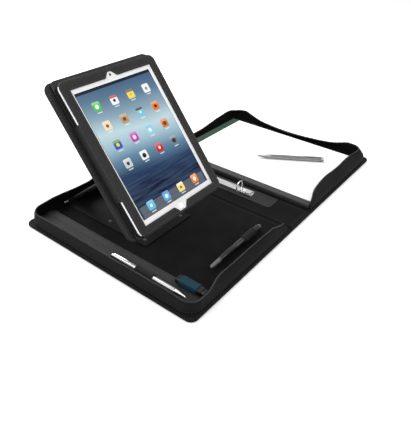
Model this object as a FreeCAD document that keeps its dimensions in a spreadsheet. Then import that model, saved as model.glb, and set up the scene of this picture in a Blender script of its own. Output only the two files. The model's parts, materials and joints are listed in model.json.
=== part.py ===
# Zip-around A4 portfolio with a tablet on a folding, turning stand, a notepad, a ring
# binder mechanism, two pens, a stylus and a memory stick.
#
# The portfolio lies open on its back. +X runs across both halves, +Y points away from the
# reader and +Z up; the origin is on the table at the centre of the spine. The tablet and
# its holder are drawn flat in their own frame and placed by the stand's geometry.

import FreeCAD
import Part
import Sketcher
import math
import os
import re

doc = FreeCAD.newDocument("portfolio")

SIZES = {
    # cover boards, linings and the fold lines beside the spine
    "folio_width": 593.2,
    "folio_depth": 349.6,
    "board_thick": 4.0,
    "board_radius": 12.0,
    "fold_half": 34.0,
    "fold_gap": 2.0,
    "ply_gap": 0.1,
    "lining_thick": 1.2,
    # gusset wall with the zip teeth along its rim
    "wall_inset": 4.5,
    "wall_thick": 2.5,
    "wall_height": 27.5,
    "wall_radius": 22.0,
    "teeth_height": 2.2,
    # organiser strip along the left wall, its elastic loops and what they hold
    "strip_width": 46.0,
    "strip_thick": 6.2,
    "loop_wall": 1.2,
    "loop_gap": 0.4,
    "pen_diameter": 10.0,
    "pen_length": 138.6,
    "pen_wall_gap": 7.4,
    "pen_front_gap": 20.2,
    "pen_loop_length": 32.0,
    "pen_loop_start": 49.0,
    "usb_width": 12.5,
    "usb_thick": 7.5,
    "usb_length": 44.0,
    "usb_cap_length": 6.0,
    "usb_front_gap": 9.8,
    "usb_edge_gap": 4.0,
    "usb_loop_length": 30.0,
    "stylus_diameter": 10.5,
    "stylus_length": 133.0,
    "stylus_side_gap": 41.5,
    "stylus_front_gap": 35.3,
    "stylus_loop_length": 31.0,
    "stylus_loop_end": 34.5,
    # folding stand: base plate, rod, leaf and bracket
    "stand_shift": 2.9,
    "base_width": 110.0,
    "base_front": -22.0,
    "base_thick": 1.6,
    "rod_diameter": 5.0,
    "rod_length": 120.0,
    "rod_wall_gap": 5.8,
    "rod_z": 12.0,
    "knuckle_wall": 2.0,
    "knuckle_length": 14.0,
    "hinge_gap": 0.3,
    "run_gap": 0.08,
    "seat_gap": 0.05,
    "leaf_width": 90.0,
    "leaf_thick": 4.0,
    "leaf_barrel": 76.0,
    "leaf_window_width": 50.0,
    "leaf_rail": 20.0,
    "pin_diameter": 4.0,
    "pin_drop": 20.0,
    "pin_depth": 28.0,
    "bracket_thick": 3.0,
    "bracket_height": 66.0,
    "bracket_gap": 0.6,
    # tablet, in its own frame: across, up and out of the glass
    "tilt_angle": 51.64,
    "tablet_y": 21.2,
    "tablet_z": 151.7,
    "tablet_width": 185.7,
    "tablet_height": 241.2,
    "tablet_thick": 9.4,
    "tablet_radius": 12.0,
    "case_wall": 1.2,
    "glass_thick": 1.0,
    "fit_gap": 0.15,
    "display_side": 18.95,
    "display_end": 22.05,
    "display_thick": 2.2,
    "battery_width": 62.0,
    "battery_end": 45.6,
    "battery_thick": 3.6,
    "board_strip": 22.0,
    "circuit_thick": 1.6,
    "home_diameter": 11.5,
    "home_edge": 11.1,
    "camera_diameter": 4.0,
    "button_rise": 0.6,
    "button_deep": 2.4,
    "power_length": 11.4,
    "power_x": 66.0,
    "volume_length": 18.0,
    "volume_drop": 36.6,
    "mute_length": 5.0,
    "mute_drop": 16.6,
    "button_width": 2.2,
    "button_level": 5.2,
    "mute_travel": 1.5,
    "port_width": 24.0,
    "port_height": 3.4,
    "port_deep": 7.0,
    # holder: rigid shell, padded leather back, leather frame in front
    "shell_thick": 2.5,
    "shell_wall": 0.9,
    "shell_top": 7.0,
    "shell_foot": 0.4,
    "holder_radius": 8.0,
    "back_thick": 7.4,
    "leather_thick": 1.5,
    "wrap_foot": 60.1,
    "wrap_head": 62.1,
    "frame_over": 1.3,
    "frame_shift": 2.0,
    "frame_top_gap": 0.6,
    "frame_foot_gap": 1.4,
    "window_left_gap": 3.1,
    "window_right_gap": 7.1,
    "window_foot_gap": 8.45,
    "window_top_gap": 6.95,
    "notch_half": 7.5,
    "notch_rise": 8.5,
    "home_notch_half": 9.5,
    "home_notch_drop": 9.5,
    "hub_diameter": 70.0,
    "hub_thick": 3.0,
    "boss_diameter": 16.0,
    "cap_diameter": 24.0,
    "cap_thick": 1.0,
    # spine: lining, backing strip and two-ring mechanism
    "rings_x": 10.0,
    "backing_width": 34.0,
    "backing_length": 226.0,
    "backing_thick": 1.0,
    "rail_width": 15.0,
    "rail_length": 136.0,
    "rail_sheet": 1.0,
    "rail_height": 3.8,
    "ring_pitch": 80.0,
    "ring_radius": 9.4,
    "ring_wire": 1.2,
    "ring_lift": 6.6,
    "ring_leaf_thick": 1.2,
    "ring_leaf_front": -43.5,
    "lever_front": -66.0,
    "lever_back": -45.5,
    "lever_pivot": -56.0,
    "lever_width": 11.0,
    "lever_hole": 5.0,
    "lever_pin": 1.4,
    # notepad on the right half and the pen that lies on it
    "pocket_start_gap": 3.2,
    "pocket_width": 13.8,
    "pocket_height": 6.2,
    "pocket_slot": 1.5,
    "page_width": 210.0,
    "page_height": 297.0,
    "page_front_gap": 1.8,
    "pad_thick": 5.4,
    "card_thick": 0.8,
    "card_tuck": 10.0,
    "header_depth": 16.5,
    "header_rise": 0.6,
    "desk_pen_diameter": 9.0,
    "desk_pen_length": 136.0,
    "desk_pen_across": 113.7,
    "desk_pen_up": 109.0,
    "desk_pen_angle": 122.0,
    # zip slider parked on the back wall beside the spine, with its pull tab
    "slider_park": 14.0,
    "slider_length": 14.0,
    "slider_wall": 0.8,
    "slider_gap": 0.3,
    "slider_skirt": 4.0,
    "slider_cap": 2.6,
    "pull_length": 22.0,
    "pull_width": 5.6,
    "pull_thick": 1.2,
    "pull_pin": 1.2,
}

# sizes worked out from the driving ones, so that pieces which meet stay together
WORKED_OUT = {
    "floor_z": "board_thick + ply_gap + lining_thick",
    "inner_half_x": "folio_width / 2 - wall_inset - wall_thick",
    "inner_half_y": "folio_depth / 2 - wall_inset - wall_thick",
    "board_edge": "fold_half + fold_gap",
    "rim_z": "board_thick + 2 * ply_gap + wall_height",
    "strip_top": "floor_z + ply_gap + strip_thick",
    "pen_x": "-(inner_half_x - ply_gap - pen_wall_gap - pen_diameter / 2)",
    "pen_z": "strip_top + ply_gap + loop_wall + loop_gap + pen_diameter / 2",
    "pen_back": "pen_front_gap - inner_half_y + pen_length",
    "pen_loop_back": "pen_back - pen_loop_start",
    "strip_edge": "-(inner_half_x - ply_gap - strip_width)",
    "usb_x": "strip_edge - usb_edge_gap - usb_width / 2",
    "usb_front": "usb_front_gap - inner_half_y",
    "usb_z": "strip_top + ply_gap + loop_wall + loop_gap + usb_thick / 2",
    "stylus_x": "strip_edge + stylus_side_gap",
    "stylus_y": "stylus_front_gap - inner_half_y",
    "stylus_loop_x": "stylus_x + stylus_length - stylus_loop_end",
    "stylus_z": "floor_z + ply_gap + loop_wall + loop_gap + stylus_diameter / 2",
    "stand_x": "-(inner_half_x + board_edge) / 2 - stand_shift",
    "rod_y": "inner_half_y - rod_wall_gap",
    "pin_y": "tablet_y - pin_drop * cos(tilt_angle * 1 deg) + pin_depth * sin(tilt_angle * 1 deg)",
    "pin_z": "tablet_z - pin_drop * sin(tilt_angle * 1 deg) - pin_depth * cos(tilt_angle * 1 deg)",
    "leaf_length": "sqrt((rod_y - pin_y) ^ 2 + (pin_z - rod_z) ^ 2)",
    "leaf_angle": "atan2(pin_z - rod_z; rod_y - pin_y) / 1 deg",
    "rod_barrel": "rod_diameter + 2 * knuckle_wall",
    "pin_barrel": "pin_diameter + 2 * knuckle_wall",
    "display_width": "tablet_width - 2 * display_side",
    "display_height": "tablet_height - 2 * display_end",
    "battery_height": "tablet_height - 2 * battery_end",
    "home_drop": "tablet_height / 2 - home_edge",
    "volume_y": "tablet_height / 2 - volume_drop",
    "mute_y": "tablet_height / 2 - mute_drop",
    "wrap_low": "wrap_foot - tablet_height / 2",
    "wrap_high": "tablet_height / 2 - wrap_head",
    "frame_width": "tablet_width + frame_over",
    "frame_top": "tablet_height / 2 - frame_top_gap",
    "frame_foot": "frame_foot_gap - tablet_height / 2",
    "window_left": "-(display_width / 2 + window_left_gap)",
    "window_right": "display_width / 2 + window_right_gap",
    "window_foot": "-(display_height / 2 + window_foot_gap)",
    "window_top": "display_height / 2 + window_top_gap",
    "shell_half": "tablet_width / 2 + fit_gap + shell_wall",
    "shell_front": "tablet_thick + fit_gap",
    "back_front": "shell_front + shell_thick + ply_gap",
    "back_rear": "back_front + back_thick",
    "holder_foot": "-(tablet_height / 2 + shell_foot)",
    "holder_head": "tablet_height / 2 + shell_top",
    "bracket_front": "back_rear + bracket_gap",
    "bracket_rear": "bracket_front + bracket_thick",
    "rings_z": "floor_z + ply_gap + backing_thick + ply_gap",
    "ring_pivot_half": "rail_width / 2 - rail_sheet - hinge_gap",
    "ring_pivot_z": "rings_z + rail_sheet + 1.5",
    "ring_centre_z": "ring_pivot_z + ring_lift",
    "page_left": "board_edge + pocket_start_gap + pocket_width + hinge_gap",
    "page_front": "page_front_gap - inner_half_y",
    "card_z": "floor_z + hinge_gap",
    "page_z": "card_z + card_thick + ply_gap",
    "page_top": "page_z + pad_thick",
    "desk_pen_x": "page_left + desk_pen_across",
    "desk_pen_y": "page_front + desk_pen_up",
    "slider_x": "-(board_edge + slider_park)",
    "wall_mid_y": "inner_half_y + wall_thick / 2",
}

sheet = doc.addObject("Spreadsheet::Sheet", "Sizes")
for row, (alias, number) in enumerate(SIZES.items(), start=1):
    sheet.set("A%d" % row, alias)
    sheet.set("B%d" % row, str(number))
    sheet.setAlias("B%d" % row, alias)
for row, (alias, formula) in enumerate(WORKED_OUT.items(), start=len(SIZES) + 1):
    sheet.set("A%d" % row, alias)
    sheet.set("B%d" % row, "=" + formula)
    sheet.setAlias("B%d" % row, alias)
doc.recompute()

ALIASES = set(SIZES) | set(WORKED_OUT)


def bound(text):
    """An expression in which every size's name points at its cell of the sheet."""
    return re.sub(r"[a-z][a-z_]*", lambda m: "Sizes." + m[0] if m[0] in ALIASES else m[0], text)


# ---------------------------------------------------------------- frames and placement

# each frame: its origin in the world and its turn about the X axis, in degrees
FLAT = (("0", "0", "0"), "0")
TABLET = (("stand_x", "tablet_y", "tablet_z"), "tilt_angle")
LEAF = (("stand_x", "rod_y", "rod_z"), "-leaf_angle")


def place(thing, frame, x="0", y="0", z="0"):
    """Put a piece at x, y, z of a frame, turned with it."""
    origin, angle = frame
    cos = "cos((%s) * 1 deg)" % angle
    sin = "sin((%s) * 1 deg)" % angle
    across = "%s + (%s)" % (origin[0], x)
    away = "%s + (%s) * %s - (%s) * %s" % (origin[1], y, cos, z, sin)
    above = "%s + (%s) * %s + (%s) * %s" % (origin[2], y, sin, z, cos)
    turn = "rotation(vector(1; 0; 0); %s)" % angle
    thing.setExpression(
        "Placement",
        bound("placement(vector(%s; %s; %s); %s)" % (across, away, above, turn)),
    )


def place_turned(thing, x, y, z, angle):
    """Put a piece at x, y, z of the world, turned about the upright axis."""
    turn = "rotation(vector(0; 0; 1); %s)" % angle
    thing.setExpression("Placement", bound("placement(vector(%s; %s; %s); %s)" % (x, y, z, turn)))


# ---------------------------------------------------------------- sketches

START = 10.0  # half side of a fresh rectangle, before its constraints size it
START_CORNER = 2.0


def new_body(name):
    """An empty body that will be one sub-part."""
    body = doc.addObject("PartDesign::Body", name)
    body.Label = name
    return body


def new_sketch(body, plane="XY", lift="0"):
    """A sketch on one of the body's own origin planes, lifted along the plane's normal."""
    sketch = body.newObject("Sketcher::SketchObject", body.Name + "_sketch")
    support = [item for item in body.Origin.OriginFeatures if item.Role == plane + "_Plane"]
    sketch.AttachmentSupport = [(support[0], "")]
    sketch.MapMode = "FlatFace"
    sketch.setExpression("AttachmentOffset.Base.z", bound(lift))
    return sketch


def constrain(sketch, kind, points, formula, start=1.0):
    """One dimension of a sketch, bound to the sheet."""
    number = sketch.addConstraint(Sketcher.Constraint(kind, *points, start))
    sketch.setExpression("Constraints[%d]" % number, bound(formula))


def draw_rectangle(sketch, centre_x, centre_y, width, height):
    """A plain rectangle about a centre."""
    first = sketch.GeometryCount
    corners = [(-START, -START), (START, -START), (START, START), (-START, START)]
    points = [FreeCAD.Vector(x, y, 0) for x, y in corners]
    for number in range(4):
        sketch.addGeometry(Part.LineSegment(points[number], points[(number + 1) % 4]), False)
    for number in range(4):
        following = first + (number + 1) % 4
        sketch.addConstraint(Sketcher.Constraint("Coincident", first + number, 2, following, 1))
    for number, kind in enumerate(("Horizontal", "Vertical", "Horizontal", "Vertical")):
        sketch.addConstraint(Sketcher.Constraint(kind, first + number))
    constrain(sketch, "DistanceX", (first, 1, first, 2), width, 2 * START)
    constrain(sketch, "DistanceY", (first + 1, 1, first + 1, 2), height, 2 * START)
    constrain(sketch, "DistanceX", (-1, 1, first, 1), "%s - (%s) / 2" % (centre_x, width), -START)
    constrain(sketch, "DistanceY", (-1, 1, first, 1), "%s - (%s) / 2" % (centre_y, height), -START)


def draw_rounded(sketch, centre_x, centre_y, width, height, radius):
    """A rectangle about a centre with four equal round corners."""
    first = sketch.GeometryCount
    near = START - START_CORNER
    sides = [
        ((-near, -START), (near, -START)),
        ((START, -near), (START, near)),
        ((near, START), (-near, START)),
        ((-START, near), (-START, -near)),
    ]
    for start, end in sides:
        line = Part.LineSegment(FreeCAD.Vector(*start, 0), FreeCAD.Vector(*end, 0))
        sketch.addGeometry(line, False)
    for number, (x, y) in enumerate([(near, -near), (near, near), (-near, near), (-near, -near)]):
        circle = Part.Circle(FreeCAD.Vector(x, y, 0), FreeCAD.Vector(0, 0, 1), START_CORNER)
        begin = (number - 1) * math.pi / 2
        sketch.addGeometry(Part.ArcOfCircle(circle, begin, begin + math.pi / 2), False)
    for number in range(4):
        arc = first + 4 + number
        following = first + (number + 1) % 4
        sketch.addConstraint(Sketcher.Constraint("Tangent", first + number, 2, arc, 1))
        sketch.addConstraint(Sketcher.Constraint("Tangent", arc, 2, following, 1))
    for number, kind in enumerate(("Horizontal", "Vertical", "Horizontal", "Vertical")):
        sketch.addConstraint(Sketcher.Constraint(kind, first + number))
    for number in (5, 6, 7):
        sketch.addConstraint(Sketcher.Constraint("Equal", first + 4, first + number))
    left = "%s - (%s) / 2" % (centre_x, width)
    foot = "%s - (%s) / 2" % (centre_y, height)
    constrain(sketch, "Radius", (first + 4,), radius, START_CORNER)
    constrain(sketch, "DistanceX", (first + 3, 1, first + 1, 1), width, 2 * START)
    constrain(sketch, "DistanceY", (first, 1, first + 2, 1), height, 2 * START)
    constrain(sketch, "DistanceX", (-1, 1, first + 3, 1), left, -START)
    constrain(sketch, "DistanceY", (-1, 1, first, 1), foot, -START)


def draw_circle(sketch, centre_x, centre_y, diameter):
    """A circle about a centre."""
    circle = Part.Circle(FreeCAD.Vector(1, 1, 0), FreeCAD.Vector(0, 0, 1), START_CORNER)
    number = sketch.addGeometry(circle, False)
    constrain(sketch, "Radius", (number,), "(%s) / 2" % diameter, START_CORNER)
    constrain(sketch, "DistanceX", (-1, 1, number, 3), centre_x)
    constrain(sketch, "DistanceY", (-1, 1, number, 3), centre_y)


def draw_polygon(sketch, corners):
    """A closed outline through corners, each a pair of expressions and a rough first guess."""
    first = sketch.GeometryCount
    count = len(corners)
    guesses = [FreeCAD.Vector(*guess, 0) for _, _, guess in corners]
    for number in range(count):
        sketch.addGeometry(Part.LineSegment(guesses[number], guesses[(number + 1) % count]), False)
    for number in range(count):
        following = first + (number + 1) % count
        sketch.addConstraint(Sketcher.Constraint("Coincident", first + number, 2, following, 1))
    for number, (x, y, guess) in enumerate(corners):
        constrain(sketch, "DistanceX", (-1, 1, first + number, 1), x, guess[0])
        constrain(sketch, "DistanceY", (-1, 1, first + number, 1), y, guess[1])


# ---------------------------------------------------------------- features

def pad(body, sketch, length, middle=False, back=False):
    """Grow a sketch into a solid, to one side or evenly to both."""
    feature = body.newObject("PartDesign::Pad", body.Name + "_pad")
    feature.Profile = sketch
    feature.setExpression("Length", bound(length))
    feature.Midplane = middle
    feature.Reversed = back
    sketch.Visibility = False
    return feature


def pocket(body, sketch, length=None, middle=False, back=False):
    """Cut a sketch into a body, to a depth or right through."""
    feature = body.newObject("PartDesign::Pocket", body.Name + "_pocket")
    feature.Profile = sketch
    if length:
        feature.setExpression("Length", bound(length))
    else:
        feature.Type = "ThroughAll"
    feature.Midplane = middle
    feature.Reversed = back
    sketch.Visibility = False
    return feature


def round_edges(body, radius, wanted):
    """Round the edges of the body's last feature that pass a test."""
    doc.recompute()
    base = body.Tip
    names = ["Edge%d" % n for n, edge in enumerate(base.Shape.Edges, start=1) if wanted(edge)]
    feature = body.newObject("PartDesign::Fillet", body.Name + "_fillet")
    feature.Base = (base, names)
    feature.setExpression("Radius", bound(radius))
    return feature


def upright(edge):
    """Whether an edge is a straight line along the body's own Z."""
    box = edge.BoundBox
    return box.XLength < 1e-6 and box.YLength < 1e-6


# ---------------------------------------------------------------- common pieces

def plate(name, frame, x, y, z, width, height, thick, radius=None):
    """A flat plate centred on x, y with its underside at z of the frame."""
    body = new_body(name)
    sketch = new_sketch(body)
    if radius:
        draw_rounded(sketch, "0", "0", width, height, radius)
    else:
        draw_rectangle(sketch, "0", "0", width, height)
    pad(body, sketch, thick)
    place(body, frame, x, y, z)
    return body


def cover_piece(name, side, inset, thick, z, radius, wall=None):
    """A layer of one cover half: a sheet inset from the edge, or a wall round three sides."""
    run = "(folio_width / 2 - (%s) - board_edge)" % inset
    span = "(folio_depth - 2 * (%s))" % inset
    centre = "%d * (folio_width / 2 - (%s) - (%s + %s) / 2)" % (side, inset, run, radius)
    body = new_body(name)
    sketch = new_sketch(body)
    draw_rounded(sketch, centre, "0", "%s + %s" % (run, radius), span, radius)
    if wall:
        width = "%s + %s - 2 * %s" % (run, radius, wall)
        height = "%s - 2 * %s" % (span, wall)
        draw_rounded(sketch, centre, "0", width, height, "%s - %s" % (radius, wall))
    pad(body, sketch, thick)
    beyond = new_sketch(body)
    middle = "%d * (board_edge - %s)" % (side, radius)
    draw_rectangle(beyond, middle, "0", "2 * " + radius, "folio_depth")
    pocket(body, beyond, back=True)
    place(body, FLAT, z=z)
    return body


def turned_piece(name, stations, x, y, z, angle):
    """A round piece along its own X: each station is a distance, a diameter and a guess."""
    body = new_body(name)
    sketch = new_sketch(body, "XZ")
    corners = [(stations[0][0], "0", (stations[0][2], 0))]
    for distance, diameter, guess in stations:
        corners.append((distance, "(%s) / 2" % diameter, (guess, 4)))
    corners.append((stations[-1][0], "0", (stations[-1][2], 0)))
    draw_polygon(sketch, corners)
    feature = body.newObject("PartDesign::Revolution", name + "_revolution")
    feature.Profile = sketch
    feature.ReferenceAxis = (sketch, ["H_Axis"])
    feature.Angle = 360
    sketch.Visibility = False
    place_turned(body, x, y, z, angle)
    return body


# ---------------------------------------------------------------- cover halves and spine

for half, side in (("left", -1), ("right", 1)):
    cover_piece(half + "_cover_board", side, "0", "board_thick", "0", "board_radius")
    cover_piece(
        half + "_lining",
        side,
        "wall_inset + wall_thick + ply_gap",
        "lining_thick",
        "board_thick + ply_gap",
        "(wall_radius - wall_thick - ply_gap)",
    )
    cover_piece(
        half + "_gusset",
        side,
        "wall_inset",
        "wall_height",
        "board_thick + ply_gap",
        "wall_radius",
        wall="wall_thick",
    )
    cover_piece(
        half + "_zip_teeth",
        side,
        "wall_inset",
        "teeth_height",
        "rim_z",
        "wall_radius",
        wall="wall_thick",
    )

plate(
    "spine_board", FLAT, "0", "0", "0", "2 * (fold_half - fold_gap)", "folio_depth", "board_thick"
)
plate(
    "spine_lining",
    FLAT,
    "0",
    "0",
    "board_thick + ply_gap",
    "2 * (fold_half - 2 * fold_gap)",
    "2 * inner_half_y",
    "lining_thick",
)

# ---------------------------------------------------------------- organiser strip and loops

strip = plate(
    "organiser_strip",
    FLAT,
    "strip_edge - strip_width / 2",
    "0",
    "floor_z + ply_gap",
    "strip_width",
    "2 * (inner_half_y - ply_gap)",
    "strip_thick",
)
round_edges(
    strip,
    "wall_radius - wall_thick",
    lambda edge: upright(edge) and edge.BoundBox.XMax < 0,
)


def round_loop(name, along, x, y, z, diameter, length):
    """An elastic loop: a short tube that stands on its strip and holds a round piece."""
    body = new_body(name)
    plane = "XZ" if along == "y" else "YZ"
    tube = new_sketch(body, plane)
    draw_circle(tube, "0", "0", "%s + 2 * (loop_gap + loop_wall)" % diameter)
    draw_circle(tube, "0", "0", "%s + 2 * loop_gap" % diameter)
    pad(body, tube, length, middle=True)
    place(body, FLAT, x, y, z)
    return body


round_loop(
    "pen_loop",
    "y",
    "pen_x",
    "pen_loop_back - pen_loop_length / 2",
    "pen_z",
    "pen_diameter",
    "pen_loop_length",
)
round_loop(
    "stylus_loop",
    "x",
    "stylus_loop_x",
    "stylus_y",
    "stylus_z",
    "stylus_diameter",
    "stylus_loop_length",
)

usb_loop = new_body("usb_loop")
sleeve = new_sketch(usb_loop, "XZ")
for margin in ("loop_gap + loop_wall", "loop_gap"):
    draw_rounded(
        sleeve,
        "0",
        "0",
        "usb_width + 2 * (%s)" % margin,
        "usb_thick + 2 * (%s)" % margin,
        "1 + %s" % margin,
    )
pad(usb_loop, sleeve, "usb_loop_length", middle=True)
place(usb_loop, FLAT, "usb_x", "usb_front + usb_length / 2", "usb_z")

# ---------------------------------------------------------------- what the loops hold

usb_stick = new_body("usb_stick")
section = new_sketch(usb_stick, "XZ")
draw_rounded(section, "0", "0", "usb_width", "usb_thick", "1")
pad(usb_stick, section, "usb_length", middle=True)
place(usb_stick, FLAT, "usb_x", "usb_front + usb_length / 2", "usb_z")

usb_cap = new_body("usb_cap")
section = new_sketch(usb_cap, "XZ")
draw_rounded(section, "0", "0", "usb_width - 2", "usb_thick - 2", "1")
pad(usb_cap, section, "usb_cap_length", middle=True)
place(usb_cap, FLAT, "usb_x", "usb_front - ply_gap - usb_cap_length / 2", "usb_z")


def clip(name, x, y, z, angle, length, diameter):
    """A pocket clip: a foot on the barrel's end and a straight tongue above the barrel."""
    body = new_body(name)
    side_view = new_sketch(body, "XZ")
    low = "(%s) / 2 + 0.1" % diameter
    high = "(%s) / 2 + 2.4" % diameter
    shelf = "(%s) / 2 + 1.3" % diameter
    draw_polygon(
        side_view,
        [
            ("0", low, (0, 5)),
            ("4", low, (4, 5)),
            ("4", shelf, (4, 6)),
            (length, shelf, (30, 6)),
            (length, high, (30, 8)),
            ("0", high, (0, 8)),
        ],
    )
    pad(body, side_view, "2.6", middle=True)
    place_turned(body, x, y, z, angle)
    return body


turned_piece(
    "silver_pen",
    [
        ("0", "pen_diameter * 0.6", 0),
        ("3", "pen_diameter", 3),
        ("pen_length - 14", "pen_diameter", 80),
        ("pen_length", "2", 90),
    ],
    "pen_x",
    "pen_back",
    "pen_z",
    "-90",
)
clip("silver_pen_clip", "pen_x", "pen_back - 5", "pen_z", "-90", "40", "pen_diameter")

turned_piece(
    "stylus",
    [
        ("0", "4", 0),
        ("3", "stylus_diameter * 0.55", 3),
        ("24", "stylus_diameter * 0.7", 24),
        ("36", "stylus_diameter", 36),
        ("stylus_length - 4", "stylus_diameter", 80),
        ("stylus_length", "stylus_diameter * 0.6", 90),
    ],
    "stylus_x",
    "stylus_y",
    "stylus_z",
    "0",
)

# ---------------------------------------------------------------- stand: base, rod and leaf

base = new_body("stand_base")
sheet_outline = new_sketch(base)
draw_rounded(
    sheet_outline,
    "0",
    "(rod_y + rod_barrel / 2 + base_front) / 2",
    "base_width",
    "rod_y + rod_barrel / 2 - base_front",
    "3",
)
pad(base, sheet_outline, "base_thick")
knuckle_mid = "(leaf_barrel / 2 + hinge_gap + knuckle_length / 2)"
rod_rise = "(rod_z - floor_z - ply_gap)"
for side in (-1, 1):
    place_across = "%d * %s" % (side, knuckle_mid)
    foot = new_sketch(base, "YZ", place_across)
    draw_rectangle(foot, "rod_y", rod_rise + " / 2", "rod_barrel", rod_rise)
    pad(base, foot, "knuckle_length", middle=True)
    barrel = new_sketch(base, "YZ", place_across)
    draw_circle(barrel, "rod_y", rod_rise, "rod_barrel")
    pad(base, barrel, "knuckle_length", middle=True)
bore = new_sketch(base, "YZ")
draw_circle(bore, "rod_y", rod_rise, "rod_diameter + 2 * seat_gap")
pocket(base, bore, middle=True)
place(base, FLAT, "stand_x", "0", "floor_z + ply_gap")


def rod(name, frame, x, y, z, diameter, length):
    """A round rod along X."""
    body = new_body(name)
    section = new_sketch(body, "YZ")
    draw_circle(section, "0", "0", diameter)
    pad(body, section, length, middle=True)
    place(body, frame, x, y, z)
    return body


rod("stand_rod", FLAT, "stand_x", "rod_y", "rod_z", "rod_diameter", "rod_length")

leaf = new_body("stand_leaf")
panel = new_sketch(leaf, "XY", "-leaf_thick / 2")
clear = "(pin_barrel / 2 + 1)"
rear = "(rod_barrel / 2 + 1)"
draw_rounded(
    panel,
    "0",
    "-(leaf_length - %s + %s) / 2" % (clear, rear),
    "leaf_width",
    "leaf_length - %s - %s" % (clear, rear),
    "4",
)
pad(leaf, panel, "leaf_thick")
pin_span = "(leaf_width - 2 * knuckle_length - 2 * hinge_gap)"
necks = new_sketch(leaf, "XY", "-leaf_thick / 2")
draw_rectangle(necks, "0", "-(rod_barrel / 2 + 3) / 2", "leaf_barrel", "rod_barrel / 2 + 3")
draw_rectangle(
    necks,
    "0",
    "-leaf_length + (pin_barrel / 2 + 3) / 2",
    pin_span,
    "pin_barrel / 2 + 3",
)
pad(leaf, necks, "leaf_thick")
for station, outer, length in (
    ("0", "rod_barrel", "leaf_barrel"),
    ("-leaf_length", "pin_barrel", pin_span),
):
    barrel = new_sketch(leaf, "YZ")
    draw_circle(barrel, station, "0", outer)
    pad(leaf, barrel, length, middle=True)
for station, inner in (("0", "rod_diameter"), ("-leaf_length", "pin_diameter")):
    bore = new_sketch(leaf, "YZ")
    draw_circle(bore, station, "0", "%s + 2 * run_gap" % inner)
    pocket(leaf, bore, middle=True)
window = new_sketch(leaf, "XY", "-leaf_thick")
draw_rounded(
    window,
    "0",
    "-leaf_length / 2",
    "leaf_window_width",
    "leaf_length - 2 * leaf_rail - rod_barrel",
    "6",
)
pocket(leaf, window, back=True)
place(leaf, LEAF)

rod(
    "leaf_pin",
    TABLET,
    "0",
    "-pin_drop",
    "-pin_depth",
    "pin_diameter",
    "leaf_width - 2",
)

bracket = new_body("holder_bracket")
outline = new_sketch(bracket, "XY", "-bracket_rear")
draw_rounded(
    outline,
    "0",
    "-pin_drop - pin_barrel / 2 + bracket_height / 2",
    "leaf_width",
    "bracket_height",
    "3",
)
pad(bracket, outline, "bracket_thick")
for side in (-1, 1):
    lug_mid = "%d * (leaf_width / 2 - knuckle_length / 2)" % side
    lug = new_sketch(bracket, "YZ", lug_mid)
    reach = "(pin_depth - bracket_front)"
    draw_rectangle(lug, "-pin_drop", "-pin_depth + %s / 2" % reach, "pin_barrel", reach)
    pad(bracket, lug, "knuckle_length", middle=True)
    barrel = new_sketch(bracket, "YZ", lug_mid)
    draw_circle(barrel, "-pin_drop", "-pin_depth", "pin_barrel")
    pad(bracket, barrel, "knuckle_length", middle=True)
bore = new_sketch(bracket, "YZ")
draw_circle(bore, "-pin_drop", "-pin_depth", "pin_diameter + 2 * seat_gap")
pocket(bracket, bore, middle=True)
hub_bore = new_sketch(bracket, "XY", "-bracket_rear")
draw_circle(hub_bore, "0", "0", "boss_diameter + 2 * hinge_gap")
pocket(bracket, hub_bore, back=True)
place(bracket, TABLET)

# ---------------------------------------------------------------- turning hub and holder

hub = new_body("hub_disc")
disc = new_sketch(hub, "XY", "-back_rear + ply_gap")
draw_circle(disc, "0", "0", "hub_diameter")
pad(hub, disc, "hub_thick")
boss = new_sketch(hub, "XY", "-back_rear + ply_gap")
draw_circle(boss, "0", "0", "boss_diameter")
pad(hub, boss, "bracket_gap + bracket_thick + 2 * hinge_gap", back=True)
place(hub, TABLET)

cap = new_body("hub_cap")
washer = new_sketch(cap, "XY", "-(bracket_rear + 2 * hinge_gap - ply_gap)")
draw_circle(washer, "0", "0", "cap_diameter")
pad(cap, washer, "cap_thick", back=True)
place(cap, TABLET)

holder_span = "(holder_head - holder_foot)"
holder_mid = "((holder_head + holder_foot) / 2)"
wrap_span = "(wrap_high - wrap_low)"
wrap_mid = "((wrap_high + wrap_low) / 2)"

back = new_body("holder_back")
panel = new_sketch(back, "XY", "-back_rear")
draw_rounded(panel, "0", holder_mid, "2 * shell_half", holder_span, "holder_radius")
pad(back, panel, "back_thick")
recess = new_sketch(back, "XY", "-back_rear")
draw_circle(recess, "0", "0", "hub_diameter + 2 * hinge_gap")
pocket(back, recess, "hub_thick + 2 * ply_gap", back=True)
place(back, TABLET)

shell = new_body("holder_shell")
panel = new_sketch(shell, "XY", "-(shell_front + shell_thick)")
draw_rounded(panel, "0", holder_mid, "2 * shell_half", holder_span, "holder_radius")
pad(shell, panel, "shell_thick")
sides = new_sketch(shell, "XY", "-shell_front - shell_thick / 2")
for side in (-1, 1):
    wall_mid = "%d * (shell_half - shell_wall / 2)" % side
    draw_rectangle(sides, wall_mid, wrap_mid, "shell_wall", wrap_span)
pad(shell, sides, "shell_front + shell_thick / 2")
place(shell, TABLET)

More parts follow.
